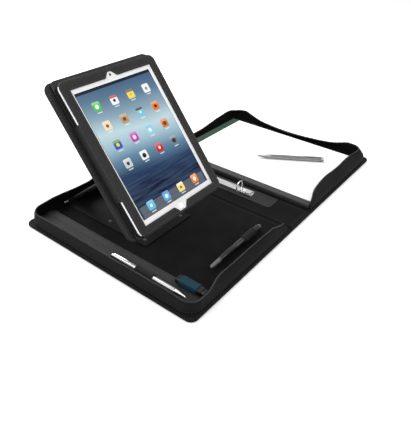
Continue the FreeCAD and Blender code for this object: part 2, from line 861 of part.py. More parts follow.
# the frame: a leather panel over the bezel, its window notched for camera and home button,
# with flaps that wrap round both long sides and back over the shell
frame = new_body("holder_frame")
front = "2 * ply_gap"
face = new_sketch(frame, "XY", front)
frame_mid = "((frame_top + frame_foot) / 2)"
frame_span = "(frame_top - frame_foot)"
draw_rounded(face, "frame_shift", frame_mid, "frame_width", frame_span, "10")
pad(frame, face, "leather_thick")
wrap_outer = "(shell_half + ply_gap + leather_thick)"
flap = new_sketch(frame, "XY", front)
draw_rectangle(flap, "0", wrap_mid, "2 * " + wrap_outer, wrap_span)
pad(frame, flap, "leather_thick")
sides = new_sketch(frame, "XY", "-back_rear")
for side in (-1, 1):
    wall_mid = "%d * (%s - leather_thick / 2)" % (side, wrap_outer)
    draw_rectangle(sides, wall_mid, wrap_mid, "leather_thick", wrap_span)
pad(frame, sides, "back_rear + %s + leather_thick / 2" % front)
window = new_sketch(frame, "XY", "0")
draw_polygon(
    window,
    [
        ("window_left", "window_foot", (-77, -107)),
        ("-home_notch_half - 5", "window_foot", (-14, -107)),
        ("-home_notch_half + 3", "window_foot - home_notch_drop", (-6, -116)),
        ("home_notch_half - 3", "window_foot - home_notch_drop", (6, -116)),
        ("home_notch_half + 5", "window_foot", (14, -107)),
        ("window_right", "window_foot", (81, -107)),
        ("window_right", "window_top", (81, 105)),
        ("notch_half + 4", "window_top", (11, 105)),
        ("notch_half - 4", "window_top + notch_rise", (3, 113)),
        ("-notch_half + 4", "window_top + notch_rise", (-3, 113)),
        ("-notch_half - 4", "window_top", (-11, 105)),
        ("window_left", "window_top", (-77, 105)),
    ],
)
pocket(frame, window, "leather_thick * 3", back=True)
place(frame, TABLET)

# ---------------------------------------------------------------- tablet

case = new_body("tablet_case")
outer = new_sketch(case, "XY", "-tablet_thick")
draw_rounded(outer, "0", "0", "tablet_width", "tablet_height", "tablet_radius")
pad(case, outer, "tablet_thick")
hollow = new_sketch(case, "XY", "-tablet_thick + case_wall")
hollow_width = "(tablet_width - 2 * case_wall)"
hollow_height = "(tablet_height - 2 * case_wall)"
draw_rounded(hollow, "0", "0", hollow_width, hollow_height, "tablet_radius - case_wall")
pocket(case, hollow, "tablet_thick", back=True)
slot_wide = "(button_width + 2 * fit_gap)"
top_slot = new_sketch(case, "XZ", "-tablet_height / 2 + 2 * case_wall")
draw_rectangle(top_slot, "power_x", "-button_level", "power_length + 2 * fit_gap", slot_wide)
pocket(case, top_slot, "4 * case_wall")
port = new_sketch(case, "XZ", "tablet_height / 2 - 2 * case_wall")
draw_rectangle(port, "0", "-button_level", "port_width + 2 * fit_gap", "port_height + 2 * fit_gap")
pocket(case, port, "4 * case_wall", back=True)
side_slots = new_sketch(case, "YZ", "tablet_width / 2 + case_wall")
for station, length in (("volume_y", "volume_length"), ("mute_y", "mute_length + mute_travel")):
    draw_rectangle(side_slots, station, "-button_level", length + " + 4 * fit_gap", slot_wide)
pocket(case, side_slots, "3 * case_wall")
place(case, TABLET)

glass = new_body("front_glass")
pane = new_sketch(glass, "XY", "-glass_thick - ply_gap / 2")
pane_width = "%s - 2 * fit_gap" % hollow_width
pane_height = "%s - 2 * fit_gap" % hollow_height
draw_rounded(pane, "0", "0", pane_width, pane_height, "tablet_radius - case_wall - fit_gap")
pad(glass, pane, "glass_thick")
holes = new_sketch(glass, "XY", "-2 * glass_thick")
draw_circle(holes, "0", "-home_drop", "home_diameter + 4 * fit_gap")
draw_circle(holes, "0", "home_drop", "camera_diameter + fit_gap")
pocket(glass, holes, back=True)
place(glass, TABLET)

plate(
    "display_panel",
    TABLET,
    "0",
    "0",
    "-(glass_thick + ply_gap + display_thick)",
    "display_width + 4",
    "display_height + 4",
    "display_thick",
    "2",
)

inner_level = "-(tablet_thick - case_wall - ply_gap)"
for side, name in ((-1, "battery_left"), (1, "battery_right")):
    across = "%d * (battery_width / 2 + 1) - board_strip / 2" % side
    plate(
        name,
        TABLET,
        across,
        "0",
        inner_level,
        "battery_width",
        "battery_height",
        "battery_thick",
        "3",
    )
plate(
    "logic_board",
    TABLET,
    "battery_width + 4",
    "0",
    inner_level,
    "board_strip - 4",
    "battery_height + 40",
    "circuit_thick",
    "1",
)

home = new_body("home_button")
disc = new_sketch(home, "XY", "-ply_gap / 2")
draw_circle(disc, "0", "-home_drop", "home_diameter")
pad(home, disc, "glass_thick + 0.6", back=True)
place(home, TABLET)

camera = new_body("front_camera")
disc = new_sketch(camera, "XY", "-ply_gap")
draw_circle(disc, "0", "home_drop", "camera_diameter")
pad(camera, disc, "glass_thick + 1", back=True)
place(camera, TABLET)


def side_button(name, x, y, width, height):
    """A key in a slot of the tablet's edge, level with the middle of the edge."""
    body = new_body(name)
    outline = new_sketch(body, "XY", "-button_level")
    draw_rectangle(outline, x, y, width, height)
    pad(body, outline, "button_width", middle=True)
    place(body, TABLET)
    return body


side_button(
    "power_button",
    "power_x",
    "tablet_height / 2 + button_rise - button_deep / 2",
    "power_length",
    "button_deep",
)
edge_x = "tablet_width / 2 + button_rise - button_deep / 2"
side_button("volume_rocker", edge_x, "volume_y", "button_deep", "volume_length")
side_button("mute_switch", edge_x, "mute_y + mute_travel / 2", "button_deep", "mute_length")

connector = new_body("dock_connector")
shroud = new_sketch(connector, "XY", "-button_level")
draw_rectangle(
    shroud, "0", "-tablet_height / 2 + 0.3 + port_deep / 2", "port_width", "port_deep"
)
pad(connector, shroud, "port_height", middle=True)
mouth = new_sketch(connector, "XY", "-button_level")
draw_rectangle(
    mouth, "0", "-tablet_height / 2 + 0.3 + (port_deep - 1) / 2", "port_width - 2", "port_deep - 1"
)
pocket(connector, mouth, "port_height - 1.4", middle=True)
place(connector, TABLET)

# ---------------------------------------------------------------- ring mechanism

plate(
    "ring_backing",
    FLAT,
    "rings_x + 2",
    "0",
    "floor_z + ply_gap",
    "backing_width",
    "backing_length",
    "backing_thick",
    "6",
)

rail = new_body("ring_rail")
channel = new_sketch(rail, "XZ")
rail_half = "rail_width / 2"
inner_half = "(rail_width / 2 - rail_sheet)"
draw_polygon(
    channel,
    [
        ("-" + rail_half, "0", (-7, 0)),
        (rail_half, "0", (7, 0)),
        (rail_half, "rail_height", (7, 4)),
        (inner_half, "rail_height", (6, 4)),
        (inner_half, "rail_sheet", (6, 1)),
        ("-" + inner_half, "rail_sheet", (-6, 1)),
        ("-" + inner_half, "rail_height", (-6, 4)),
        ("-" + rail_half, "rail_height", (-7, 4)),
    ],
)
pad(rail, channel, "rail_length", middle=True)
notches = new_sketch(rail, "XY", "rail_sheet")
for side in (-1, 1):
    draw_rectangle(notches, "0", "%d * ring_pitch / 2" % side, "rail_width + 2", "5 * ring_wire")
pocket(rail, notches, "rail_height", back=True)
bore = new_sketch(rail, "YZ")
draw_circle(bore, "lever_pivot", "ring_pivot_z - rings_z", "lever_pin + 2 * run_gap")
pocket(rail, bore, middle=True)
place(rail, FLAT, "rings_x", "0", "rings_z")

RING_FOOT = 48  # degrees below level at which a ring meets its leaf
for side, name in ((-1, "ring_half_left"), (1, "ring_half_right")):
    leaf_mid = "%d * ring_pivot_half / 2" % side
    ring_leaf = doc.addObject("Part::Box", name + "_leaf")
    ring_leaf.setExpression("Length", bound("ring_pivot_half - hinge_gap / 2"))
    ring_leaf.setExpression("Width", bound("rail_length / 2 - 2 - ring_leaf_front"))
    ring_leaf.setExpression("Height", bound("ring_leaf_thick"))
    start = "-ring_pivot_half" if side < 0 else "hinge_gap / 2"
    place(
        ring_leaf,
        FLAT,
        "rings_x + " + start,
        "ring_leaf_front",
        "ring_pivot_z - ring_leaf_thick / 2",
    )
    halves = [ring_leaf]
    for end in (-1, 1):
        wire = doc.addObject("Part::Torus", "%s_wire_%s" % (name, "back" if end > 0 else "front"))
        wire.setExpression("Radius1", bound("ring_radius"))
        wire.setExpression("Radius2", bound("ring_wire"))
        wire.Angle3 = 90 + RING_FOOT - 1
        # the torus starts along +X, turns about its own axis and is stood up across the spine
        begin = 91 if side < 0 else -RING_FOOT
        turn = "rotation(vector(1; 0; 0); 90) * rotation(vector(0; 0; 1); %d)" % begin
        spot = "vector(rings_x; %d * ring_pitch / 2; ring_centre_z)" % end
        wire.setExpression("Placement", bound("placement(%s; %s)" % (spot, turn)))
        halves.append(wire)
    joined = doc.addObject("Part::MultiFuse", name)
    joined.Label = name
    joined.Shapes = halves

lever = new_body("ring_lever")
tongue = new_sketch(lever, "XY", "1.5")
draw_rounded(
    tongue,
    "0",
    "(lever_front + lever_back) / 2 - lever_pivot",
    "lever_width",
    "lever_back - lever_front",
    "3",
)
pad(lever, tongue, "1.4")
web = new_sketch(lever, "YZ")
draw_rectangle(web, "0", "0.9", "3", "1.8")
pad(lever, web, "lever_width - 2", middle=True)
pin = new_sketch(lever, "YZ")
draw_circle(pin, "0", "0", "lever_pin")
pad(lever, pin, "rail_width - 2 * ply_gap", middle=True)
eye = new_sketch(lever, "XY")
draw_circle(eye, "0", "(lever_back - lever_pivot) / 2", "lever_hole")
pocket(lever, eye, back=True)
place(lever, FLAT, "rings_x", "lever_pivot", "ring_pivot_z")

# ---------------------------------------------------------------- notepad in its pocket band

pocket_band = new_body("pad_pocket")
profile = new_sketch(pocket_band, "XZ")
pocket_start = "(board_edge + pocket_start_gap)"
slot_start = "(page_left - card_tuck - 1)"
pocket_end = "(%s + pocket_width)" % pocket_start
draw_polygon(
    profile,
    [
        (pocket_start, "0", (39, 0)),
        (slot_start, "0", (42, 0)),
        (slot_start, "pocket_slot", (42, 2)),
        (pocket_end, "pocket_slot", (53, 2)),
        (pocket_end, "pocket_height", (53, 6)),
        (pocket_start, "pocket_height", (39, 6)),
    ],
)
pad(pocket_band, profile, "2 * (inner_half_y - 2)", middle=True)
place(pocket_band, FLAT, "0", "0", "floor_z + ply_gap")

page_mid_x = "page_left + page_width / 2"
plate(
    "pad_backing",
    FLAT,
    "page_left + (page_width - card_tuck) / 2",
    "page_front + (page_height + header_depth) / 2",
    "card_z",
    "page_width + card_tuck",
    "page_height + header_depth",
    "card_thick",
)
plate(
    "pad_pages",
    FLAT,
    page_mid_x,
    "page_front + page_height / 2",
    "page_z",
    "page_width",
    "page_height",
    "pad_thick",
)
plate(
    "pad_header",
    FLAT,
    page_mid_x,
    "page_front + page_height + ply_gap + (header_depth - ply_gap) / 2",
    "page_z",
    "page_width",
    "header_depth - ply_gap",
    "pad_thick + header_rise",
    "1",
)

desk_z = "page_top + 2 * ply_gap + desk_pen_diameter / 2"
run_x = "desk_pen_length / 2 * cos(desk_pen_angle * 1 deg)"
run_y = "desk_pen_length / 2 * sin(desk_pen_angle * 1 deg)"
turned_piece(
    "desk_pen",
    [
        ("0", "desk_pen_diameter * 0.5", 0),
        ("3", "desk_pen_diameter", 3),
        ("desk_pen_length / 2", "desk_pen_diameter", 45),
        ("desk_pen_length - 16", "desk_pen_diameter * 0.9", 80),
        ("desk_pen_length", "2", 90),
    ],
    "desk_pen_x - " + run_x,
    "desk_pen_y - " + run_y,
    desk_z,
    "desk_pen_angle",
)
clip(
    "desk_pen_clip",
    "desk_pen_x - %s * 0.94" % run_x,
    "desk_pen_y - %s * 0.94" % run_y,
    desk_z,
    "desk_pen_angle",
    "38",
    "desk_pen_diameter",
)

# ---------------------------------------------------------------- zip slider and pull tab

slider = new_body("zip_slider")
end_view = new_sketch(slider, "YZ")
slot_half = "(wall_thick / 2 + slider_gap)"
outer_half = "(%s + slider_wall)" % slot_half
slot_roof = "(teeth_height + slider_gap)"
draw_polygon(
    end_view,
    [
        ("-" + outer_half, "-slider_skirt", (-3, -4)),
        ("-" + slot_half, "-slider_skirt", (-2, -4)),
        ("-" + slot_half, slot_roof, (-2, 2)),
        (slot_half, slot_roof, (2, 2)),
        (slot_half, "-slider_skirt", (2, -4)),
        (outer_half, "-slider_skirt", (3, -4)),
        (outer_half, slot_roof + " + slider_cap", (3, 5)),
        ("-" + outer_half, slot_roof + " + slider_cap", (-3, 5)),
    ],
)
pad(slider, end_view, "slider_length", middle=True)
ear_mid = "(pull_width / 2 + hinge_gap + 0.5)"
pin_out = "(%s + pull_pin + 0.4)" % outer_half
ear_reach = "(%s + pull_pin - %s)" % (pin_out, slot_half)
ear_centre = "(%s + %s / 2)" % (slot_half, ear_reach)
for side in (-1, 1):
    ear = new_sketch(slider, "YZ", "%d * %s" % (side, ear_mid))
    draw_rectangle(ear, ear_centre, "0", ear_reach, "2 * pull_pin + 0.4")
    pad(slider, ear, "1", middle=True)
axle = new_sketch(slider, "YZ")
draw_circle(axle, pin_out, "0", "pull_pin")
pad(slider, axle, "2 * %s" % ear_mid, middle=True)
place(slider, FLAT, "slider_x", "wall_mid_y", "rim_z + ply_gap")

pull = new_body("zip_pull")
tab = new_sketch(pull, "XZ")
draw_rounded(tab, "0", "-(pull_length / 2 + 1)", "pull_width", "pull_length", "2")
pad(pull, tab, "pull_thick", middle=True)
eye = new_sketch(pull, "YZ")
draw_circle(eye, "0", "0", "pull_pin + 2 * hinge_gap + 1.2")
pad(pull, eye, "pull_width", middle=True)
bore = new_sketch(pull, "YZ")
draw_circle(bore, "0", "0", "pull_pin + 2 * hinge_gap")
pocket(pull, bore, middle=True)
place(pull, FLAT, "slider_x", "wall_mid_y + " + pin_out, "rim_z + ply_gap")

# ---------------------------------------------------------------- check and write

doc.recompute()
failed = [item.Label for item in doc.Objects if {"Invalid", "Error"} & set(item.State)]
if failed:
    raise RuntimeError("failed objects: " + ", ".join(failed))
for cut in doc.findObjects("PartDesign::Pocket"):
    if cut.Shape.Volume > cut.BaseFeature.Shape.Volume - 1e-3:
        raise RuntimeError("cuts nothing: " + cut.Label)

pieces = doc.findObjects("PartDesign::Body") + doc.findObjects("Part::MultiFuse")
for piece in pieces:
    if piece.Shape.isNull() or not piece.Shape.isValid() or len(piece.Shape.Solids) != 1:
        raise RuntimeError("not one valid solid: " + piece.Label)

os.makedirs("parts", exist_ok=True)
for piece in pieces:
    piece.Shape.exportStep("parts/%s.step" % piece.Label)
    print("%-20s %10.1f mm3" % (piece.Label, piece.Shape.Volume))
print(len(pieces), "pieces")
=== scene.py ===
"""Looks of the open zip-around A4 portfolio: tablet on its stand, notepad, rings and pens."""

import json
import math
from functools import partialmethod

import bpy
from mathutils import Matrix, Vector, noise


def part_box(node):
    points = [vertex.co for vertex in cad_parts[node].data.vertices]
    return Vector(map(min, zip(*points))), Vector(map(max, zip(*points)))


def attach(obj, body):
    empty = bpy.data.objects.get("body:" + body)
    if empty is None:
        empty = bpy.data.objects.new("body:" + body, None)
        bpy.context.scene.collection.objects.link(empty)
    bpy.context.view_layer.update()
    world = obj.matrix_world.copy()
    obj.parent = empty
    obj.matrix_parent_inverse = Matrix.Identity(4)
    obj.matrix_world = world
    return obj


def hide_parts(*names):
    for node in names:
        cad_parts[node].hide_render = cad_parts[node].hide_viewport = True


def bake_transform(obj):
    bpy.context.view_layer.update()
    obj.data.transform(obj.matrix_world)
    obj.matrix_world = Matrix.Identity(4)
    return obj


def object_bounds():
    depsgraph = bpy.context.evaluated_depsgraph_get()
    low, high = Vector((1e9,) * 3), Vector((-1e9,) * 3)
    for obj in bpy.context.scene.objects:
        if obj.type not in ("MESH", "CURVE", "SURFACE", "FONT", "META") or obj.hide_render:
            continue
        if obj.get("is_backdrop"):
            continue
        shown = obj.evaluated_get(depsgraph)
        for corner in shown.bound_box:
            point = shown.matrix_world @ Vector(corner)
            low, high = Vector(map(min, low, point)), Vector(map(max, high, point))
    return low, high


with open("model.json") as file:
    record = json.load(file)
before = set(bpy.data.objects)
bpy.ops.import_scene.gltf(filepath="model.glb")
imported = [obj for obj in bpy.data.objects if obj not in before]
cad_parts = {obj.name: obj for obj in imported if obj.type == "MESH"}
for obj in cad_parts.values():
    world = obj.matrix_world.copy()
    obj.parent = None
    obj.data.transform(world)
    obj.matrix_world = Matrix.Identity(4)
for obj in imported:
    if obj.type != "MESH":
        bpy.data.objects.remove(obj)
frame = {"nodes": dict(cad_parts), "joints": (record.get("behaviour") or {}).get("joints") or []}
cad_low, cad_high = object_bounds()

# ------------------------------------------------------------------ camera
# The camera looks down over the left front corner of the open portfolio. It stands at head
# height of somebody who sits at the desk.
lens = bpy.data.cameras.new("camera")
camera = bpy.data.objects.new("camera", lens)
bpy.context.scene.collection.objects.link(camera)
ACROSS, UPWARD, BEHIND = (0.6068, -0.7943, 0.0297), (0.4208, 0.3527, 0.8358), (-0.6743, -0.4947, 0.5483)
look = Matrix((ACROSS, UPWARD, BEHIND)).transposed().to_4x4()
camera.matrix_world = Matrix.Translation((-0.6477, -0.4449, 0.4781)) @ look
lens.sensor_width = 36
lens.lens = 491.465 * 36 / 430
lens.shift_x = 0.0019
lens.shift_y = -0.0254
lens.clip_start = 0.01
bpy.context.scene.camera = camera
bpy.context.scene.view_settings.view_transform = "Standard"

# ------------------------------------------------------------------ table top and light
# A plain pale table top stands under everything. It is smooth laminate, lit by a white room
# and three large soft lamps.


class Reading:
    """A shader socket that reckons in plain expressions, which add the Math nodes."""

    def __init__(self, finish, socket):
        self.finish = finish
        self.socket = socket

    def reckon(self, operation, *others):
        return self.finish.node("Math", {"operation": operation}, dict(enumerate([self, *others])))

    def turned_round(self, operation, first):
        return self.finish.node("Math", {"operation": operation}, {0: first, 1: self})

    def __abs__(self):
        return self.reckon("ABSOLUTE")


OPERATORS = (
    ("add", "ADD"), ("radd", "ADD"), ("sub", "SUBTRACT"), ("mul", "MULTIPLY"), ("rmul", "MULTIPLY"),
    ("truediv", "DIVIDE"), ("gt", "GREATER_THAN"), ("lt", "LESS_THAN"),
)
for operator, operation in OPERATORS:
    setattr(Reading, "__%s__" % operator, partialmethod(Reading.reckon, operation))
Reading.__rsub__ = partialmethod(Reading.turned_round, "SUBTRACT")


class Finish:
    """One material, built round its own shader."""

    def __init__(self, name, **constants):
        self.material = bpy.data.materials.new(name)
        self.material.use_nodes = True
        self.shader = self.material.node_tree.nodes["Principled BSDF"]
        for socket, value in constants.items():
            self.shader.inputs[socket.replace("_", " ")].default_value = value

    def node(self, kind, settings=None, inputs=None, output=0):
        """Any node: its settings first, then the values or links of its sockets."""
        made = self.material.node_tree.nodes.new("ShaderNode" + kind)
        settings = dict(settings or {})
        stops = settings.pop("stops", [])
        blend = settings.pop("blend", "LINEAR")
        for name, value in settings.items():
            setattr(made, name, value)
        if stops:
            ramp = made.color_ramp
            ramp.interpolation = blend
            ramp.elements[0].position, ramp.elements[1].position = stops[0][0], stops[-1][0]
            for position, _ in stops[1:-1]:
                ramp.elements.new(position)
            for element, (_, colour) in zip(ramp.elements, stops):
                element.color = (*colour, 1)
        self.feed(made, inputs or {})
        return Reading(self, made.outputs[output])

    def feed(self, made, inputs):
        for name, value in inputs.items():
            if isinstance(value, Reading):
                self.material.node_tree.links.new(value.socket, made.inputs[name])
            else:
                made.inputs[name].default_value = value

    def place(self):
        return self.node("TexCoord", output=3)

    def axis(self, where, number):
        return self.node("SeparateXYZ", inputs={0: where}, output=number)

    def noise(self, where, scale, detail=3.0):
        return self.node("TexNoise", inputs={"Vector": where, "Scale": scale, "Detail": detail})

    def mix(self, share, first, second):
        colours = [c if isinstance(c, Reading) else (*c, 1) for c in (first, second)]
        inputs = {0: share, 6: colours[0], 7: colours[1]}
        return self.node("Mix", {"data_type": "RGBA"}, inputs, output=2)

    def relief(self, height, depth, strength=1.0):
        inputs = {"Height": height, "Distance": depth, "Strength": strength}
        return self.node("Bump", inputs=inputs)

    def show(self, **values):
        self.feed(self.shader, {name.replace("_", " "): value for name, value in values.items()})
        return self


def start(shape, **placing):
    """A fresh primitive, alone in the selection."""
    bpy.ops.object.select_all(action="DESELECT")
    getattr(bpy.ops.mesh, "primitive_%s_add" % shape)(**placing)
    return bpy.context.object


floor = start("plane", size=9)
bpy.ops.object.mode_set(mode="EDIT")
bpy.ops.mesh.subdivide(number_cuts=3)
bpy.ops.object.mode_set(mode="OBJECT")
floor.name = "table_top"
floor.data.transform(Matrix.Translation((0, 0, -0.0006)))
laminate = Finish("pale_laminate")
speckle = laminate.noise(laminate.place(), 60)
laminate.show(
    Base_Color=laminate.mix(speckle, (0.93, 0.93, 0.93), (0.95, 0.95, 0.95)),
    Roughness=0.55 + speckle * 0.1,
)
floor.data.materials.append(laminate.material)
floor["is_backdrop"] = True

world = bpy.data.worlds.new("white_room")
bpy.context.scene.world = world
world.use_nodes = True
world.node_tree.nodes["Background"].inputs["Color"].default_value = (1, 1, 1, 1)
world.node_tree.nodes["Background"].inputs["Strength"].default_value = 0.8

for name, spot, aim, size, power in (
    ("lamp_back", (0.1, 1.3, 1.3), (0, 0, 0.05), 1.4, 34),
    ("lamp_left", (-1.5, 0.3, 1.2), (-0.1, 0, 0.1), 1.0, 9),
    ("lamp_front", (0.2, -1.6, 1.6), (0, 0, 0.05), 1.6, 24),
):
    light = bpy.data.lights.new(name, "AREA")
    light.size = size
    light.energy = power
    lamp = bpy.data.objects.new(name, light)
    bpy.context.scene.collection.objects.link(lamp)
    lamp.location = spot
    lamp.rotation_euler = (Vector(aim) - Vector(spot)).to_track_quat("-Z", "Y").to_euler()

# ------------------------------------------------------------------ cover boards
# Three stiff boards, two covers and a narrow spine, are wrapped in black ballistic cloth. The
# cloth turns round every edge and is glued, and a sewn line runs just inside the outline.


def woven(name, dark, light, pitch):
    """Plain-woven cloth: threads in three directions, a little uneven in colour."""
    cloth = Finish(name, Specular_IOR_Level=0.09, Sheen_Weight=0.01, Sheen_Roughness=0.5)
    where = cloth.place()
    waves = []
    for axis in range(3):
        waves.append((cloth.axis(where, axis) * (math.pi / pitch)).reckon("SINE"))
    weave = waves[0] * waves[1] + waves[1] * waves[2] + waves[2] * waves[0]
    patches = cloth.noise(where, 35)
    fuzz = cloth.noise(where, 2600, 2.0)
    tone = patches * 0.55 + fuzz * 0.3 + weave * 0.1 + 0.05
    return cloth.show(
        Base_Color=cloth.mix(tone, dark, light),
        Roughness=0.72 + patches * 0.15,
        Normal=cloth.relief(weave + fuzz * 0.6, 0.00012),
    )


UP = Vector((0, 0, 1))


def alone(*pieces):
    """Selects these pieces only. The first is the active one."""
    bpy.ops.object.select_all(action="DESELECT")
    for piece in pieces:
        piece.select_set(True)
    bpy.context.view_layer.objects.active = pieces[0]


def choose(piece, kind, test):
    """Opens a piece for editing with only the wanted vertices, edges or faces selected."""
    alone(piece)
    bpy.ops.object.mode_set(mode="EDIT")
    bpy.ops.mesh.select_mode(type=kind)
    bpy.ops.mesh.select_all(action="DESELECT")
    bpy.ops.object.mode_set(mode="OBJECT")
    mesh = piece.data
    if kind == "VERT":
        for vertex in mesh.vertices:
            vertex.select = bool(test(vertex.co, vertex.normal))
    elif kind == "EDGE":
        for edge in mesh.edges:
            first, second = (mesh.vertices[n].co for n in edge.vertices)
            edge.select = bool(test((first + second) / 2, (second - first).normalized()))
    else:
        for face in mesh.polygons:
            face.select = bool(test(face.center, face.normal))
    bpy.ops.object.mode_set(mode="EDIT")


def close():
    bpy.ops.object.mode_set(mode="OBJECT")


def outward_all(piece):
    """Turns every face of a piece the same way round, outward if it is closed."""
    choose(piece, "FACE", lambda mid, way: True)
    bpy.ops.mesh.normals_make_consistent(inside=False)
    close()
    return piece


def block(low, high, corner=0.0, soft=0.0, steps=4, where=lambda mid: True):
    """A box with round upright corners and softened upper and lower edges."""
    low, high = Vector(low), Vector(high)
    piece = start("cube", size=1, location=(low + high) / 2)
    piece.scale = high - low
    bpy.ops.object.transform_apply(location=True, rotation=True, scale=True)
    if corner:
        choose(piece, "EDGE", lambda mid, way: abs(way.z) > 0.5 and where(mid))
        bpy.ops.mesh.bevel(offset=corner, segments=10, affect="EDGES")
        close()
    if soft:
        choose(piece, "EDGE", lambda mid, way: abs(way.z) < 0.5)
        bpy.ops.mesh.bevel(offset=soft, segments=steps, affect="EDGES")
        close()
    return piece


def worked(piece, kind, **settings):
    """A modifier put on a piece and applied."""
    alone(piece)
    modifier = piece.modifiers.new(kind.lower(), kind)
    for name, value in settings.items():
        setattr(modifier, name, value)
    bpy.ops.object.modifier_apply(modifier=modifier.name)
    return piece


def fit(piece, name, body, finish, slot, *stands_for, angle=40):
    """Names a finished piece, gives it its surface and fixes it to its body."""
    piece.name = name
    alone(piece)
    bpy.ops.object.transform_apply(location=True, rotation=True, scale=True)
    bpy.ops.object.shade_smooth_by_angle(angle=math.radians(angle))
    piece.data.materials.clear()
    piece.data.materials.append(finish.material)
    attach(piece, body)
    if stands_for:
        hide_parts(*stands_for)
    return piece


def repeated(piece, places):
    """One mesh made of a small piece set down at every place."""
    copies = []
    for place in places:
        copy = bpy.data.objects.new(piece.name, piece.data.copy())
        bpy.context.scene.collection.objects.link(copy)
        copy.data.transform(place)
        copies.append(copy)
    bpy.data.objects.remove(piece)
    alone(*copies)
    bpy.ops.object.join()
    return copies[0]


def set_down(spot, *axes):
    """The move that turns a piece's own axes to three directions, then takes it to a spot."""
    return Matrix.Translation(spot) @ Matrix(axes).transposed().to_4x4()


def spaced(points, pitch):
    """Even steps along a line of points: each step's place and direction."""
    steps = []
    left = pitch / 2
    for first, second in zip(points, points[1:]):
        run = second - first
        while left < run.length:
            steps.append((first + run.normalized() * left, run.normalized()))
            left += pitch
        left -= run.length
    return steps


def sewn(points, up=UP, length=0.0026, gap=0.0016, thick=0.00035, tall=None):
    """A row of sewn stitches along a line of points, lying on the surface whose normal is up."""
    stitch = start("uv_sphere", segments=6, ring_count=4, radius=1)
    stitch.data.transform(Matrix.Diagonal((length / 2, thick, tall or thick * 0.8, 1)))
    places = []
    for spot, way in spaced([Vector(p) for p in points], length + gap):
        side = Vector(up).cross(way).normalized()
        places.append(set_down(spot, way, side, way.cross(side)))
    return repeated(stitch, places)


CORNER_STEPS = 6
SEAM_LIFT = 0.00005


def ring_of(low, high, radius, height, margin=0.0):
    """The closed outline of a rectangle with round corners, at one height, inside a margin."""
    left, front = low[0] + margin, low[1] + margin
    right, back = high[0] - margin, high[1] - margin
    corners = ((right, back, -1, -1), (left, back, 1, -1), (left, front, 1, 1), (right, front, -1, 1))
    points = []
    for number, (x, y, inward_x, inward_y) in enumerate(corners):
        for step in range(CORNER_STEPS + 1):
            turn = math.radians(90) * (number + step / CORNER_STEPS)
            x_here = x + radius * (inward_x + math.cos(turn))
            points.append(Vector((x_here, y + radius * (inward_y + math.sin(turn)), height)))
    return points + points[:1]


cover_cloth = woven("ballistic_cloth", (0.003, 0.003, 0.0034), (0.0095, 0.0095, 0.0103), 0.0011)
thread = Finish("black_thread", Roughness=0.6, Base_Color=(0.02, 0.02, 0.021, 1))
thread.show(Roughness=0.5 + thread.noise(thread.place(), 900) * 0.3)

HALVES = (("left", "tray", -1), ("right", "cover", 1))
BOARD_CORNER, BOARD_EDGE, BOARD_SEAM = 0.012, 0.0013, 0.0022

for half, body, side in HALVES:
    node = half + "_cover_board"
    low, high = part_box(node)
    board = block(low, high, BOARD_CORNER, BOARD_EDGE, where=lambda mid: mid.x * side > 0.2)
    fit(board, node + "_wrapped", body, cover_cloth, "cover_fabric", node)
    seam = ring_of(low, high, BOARD_CORNER, high.z + SEAM_LIFT)
    middle, size = (low + high) / 2, high - low
    shrink_x, shrink_y = 1 - 2 * BOARD_SEAM / size.x, 1 - 2 * BOARD_SEAM / size.y
    seam = [Vector((middle.x + (p.x - middle.x) * shrink_x, p.y * shrink_y, p.z)) for p in seam]
    fit(sewn(seam), half + "_board_seam", body, thread, "cover_fabric")

low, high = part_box("spine_board")
spine = block(low, high, soft=BOARD_EDGE)
fit(spine, "spine_board_wrapped", "spine", cover_cloth, "cover_fabric", "spine_board")

# ------------------------------------------------------------------ cloth hinges
# The cover cloth runs on from board to board in one piece. Where it has no board it makes a
# hinge, two plies thick, that dips a little between them.

low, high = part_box("spine_board")
left_gap = (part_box("left_cover_board")[1].x, low.x)
right_gap = (high.x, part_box("right_cover_board")[0].x)
HINGE_PLIES = 0.0016
for name, first, second, (near, far) in (
    ("left_hinge_cloth", "tray", "spine", left_gap),
    ("right_hinge_cloth", "spine", "cover", right_gap),
):
    web = start("grid", x_subdivisions=12, y_subdivisions=90, size=1)
    for vertex in web.data.vertices:
        share = vertex.co.x + 0.5
        dip = 0.0009 * math.sin(math.pi * share)
        x = near - 0.0012 + (far - near + 0.0024) * share
        vertex.co = Vector((x, vertex.co.y * (high.y - low.y - 0.0008), high.z - HINGE_PLIES - dip))
    worked(web, "SOLIDIFY", thickness=HINGE_PLIES, offset=0)
    web.name = name
    bpy.ops.object.shade_smooth()
    web.data.materials.append(cover_cloth.material)
    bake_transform(web)

for number, end in enumerate((-1, 1)):
    welt = start("grid", x_subdivisions=24, y_subdivisions=8, size=1)
    for vertex in welt.data.vertices:
        rise = vertex.co.y + 0.5
        along = vertex.co.x * 2
        tall = 0.0006 + 0.0003 * along * along
        inward = 0.0045 + 0.003 * rise * rise
        vertex.co = Vector((high.x * along * 0.98, end * (high.y - inward), high.z + tall * rise))
    outward_all(welt)
    worked(welt, "SOLIDIFY", thickness=0.002, offset=0)
    worked(welt, "SUBSURF", levels=1, render_levels=1)
    fit(welt, "spine_welt_%d" % (number + 1), "spine", cover_cloth, "cover_fabric", angle=70)

# ------------------------------------------------------------------ gusset walls
# Each half has an upright wall of the same cloth, sewn to the board, that carries the zip. It
# is limp, so it leans in over what lies inside and wavers along its rim.

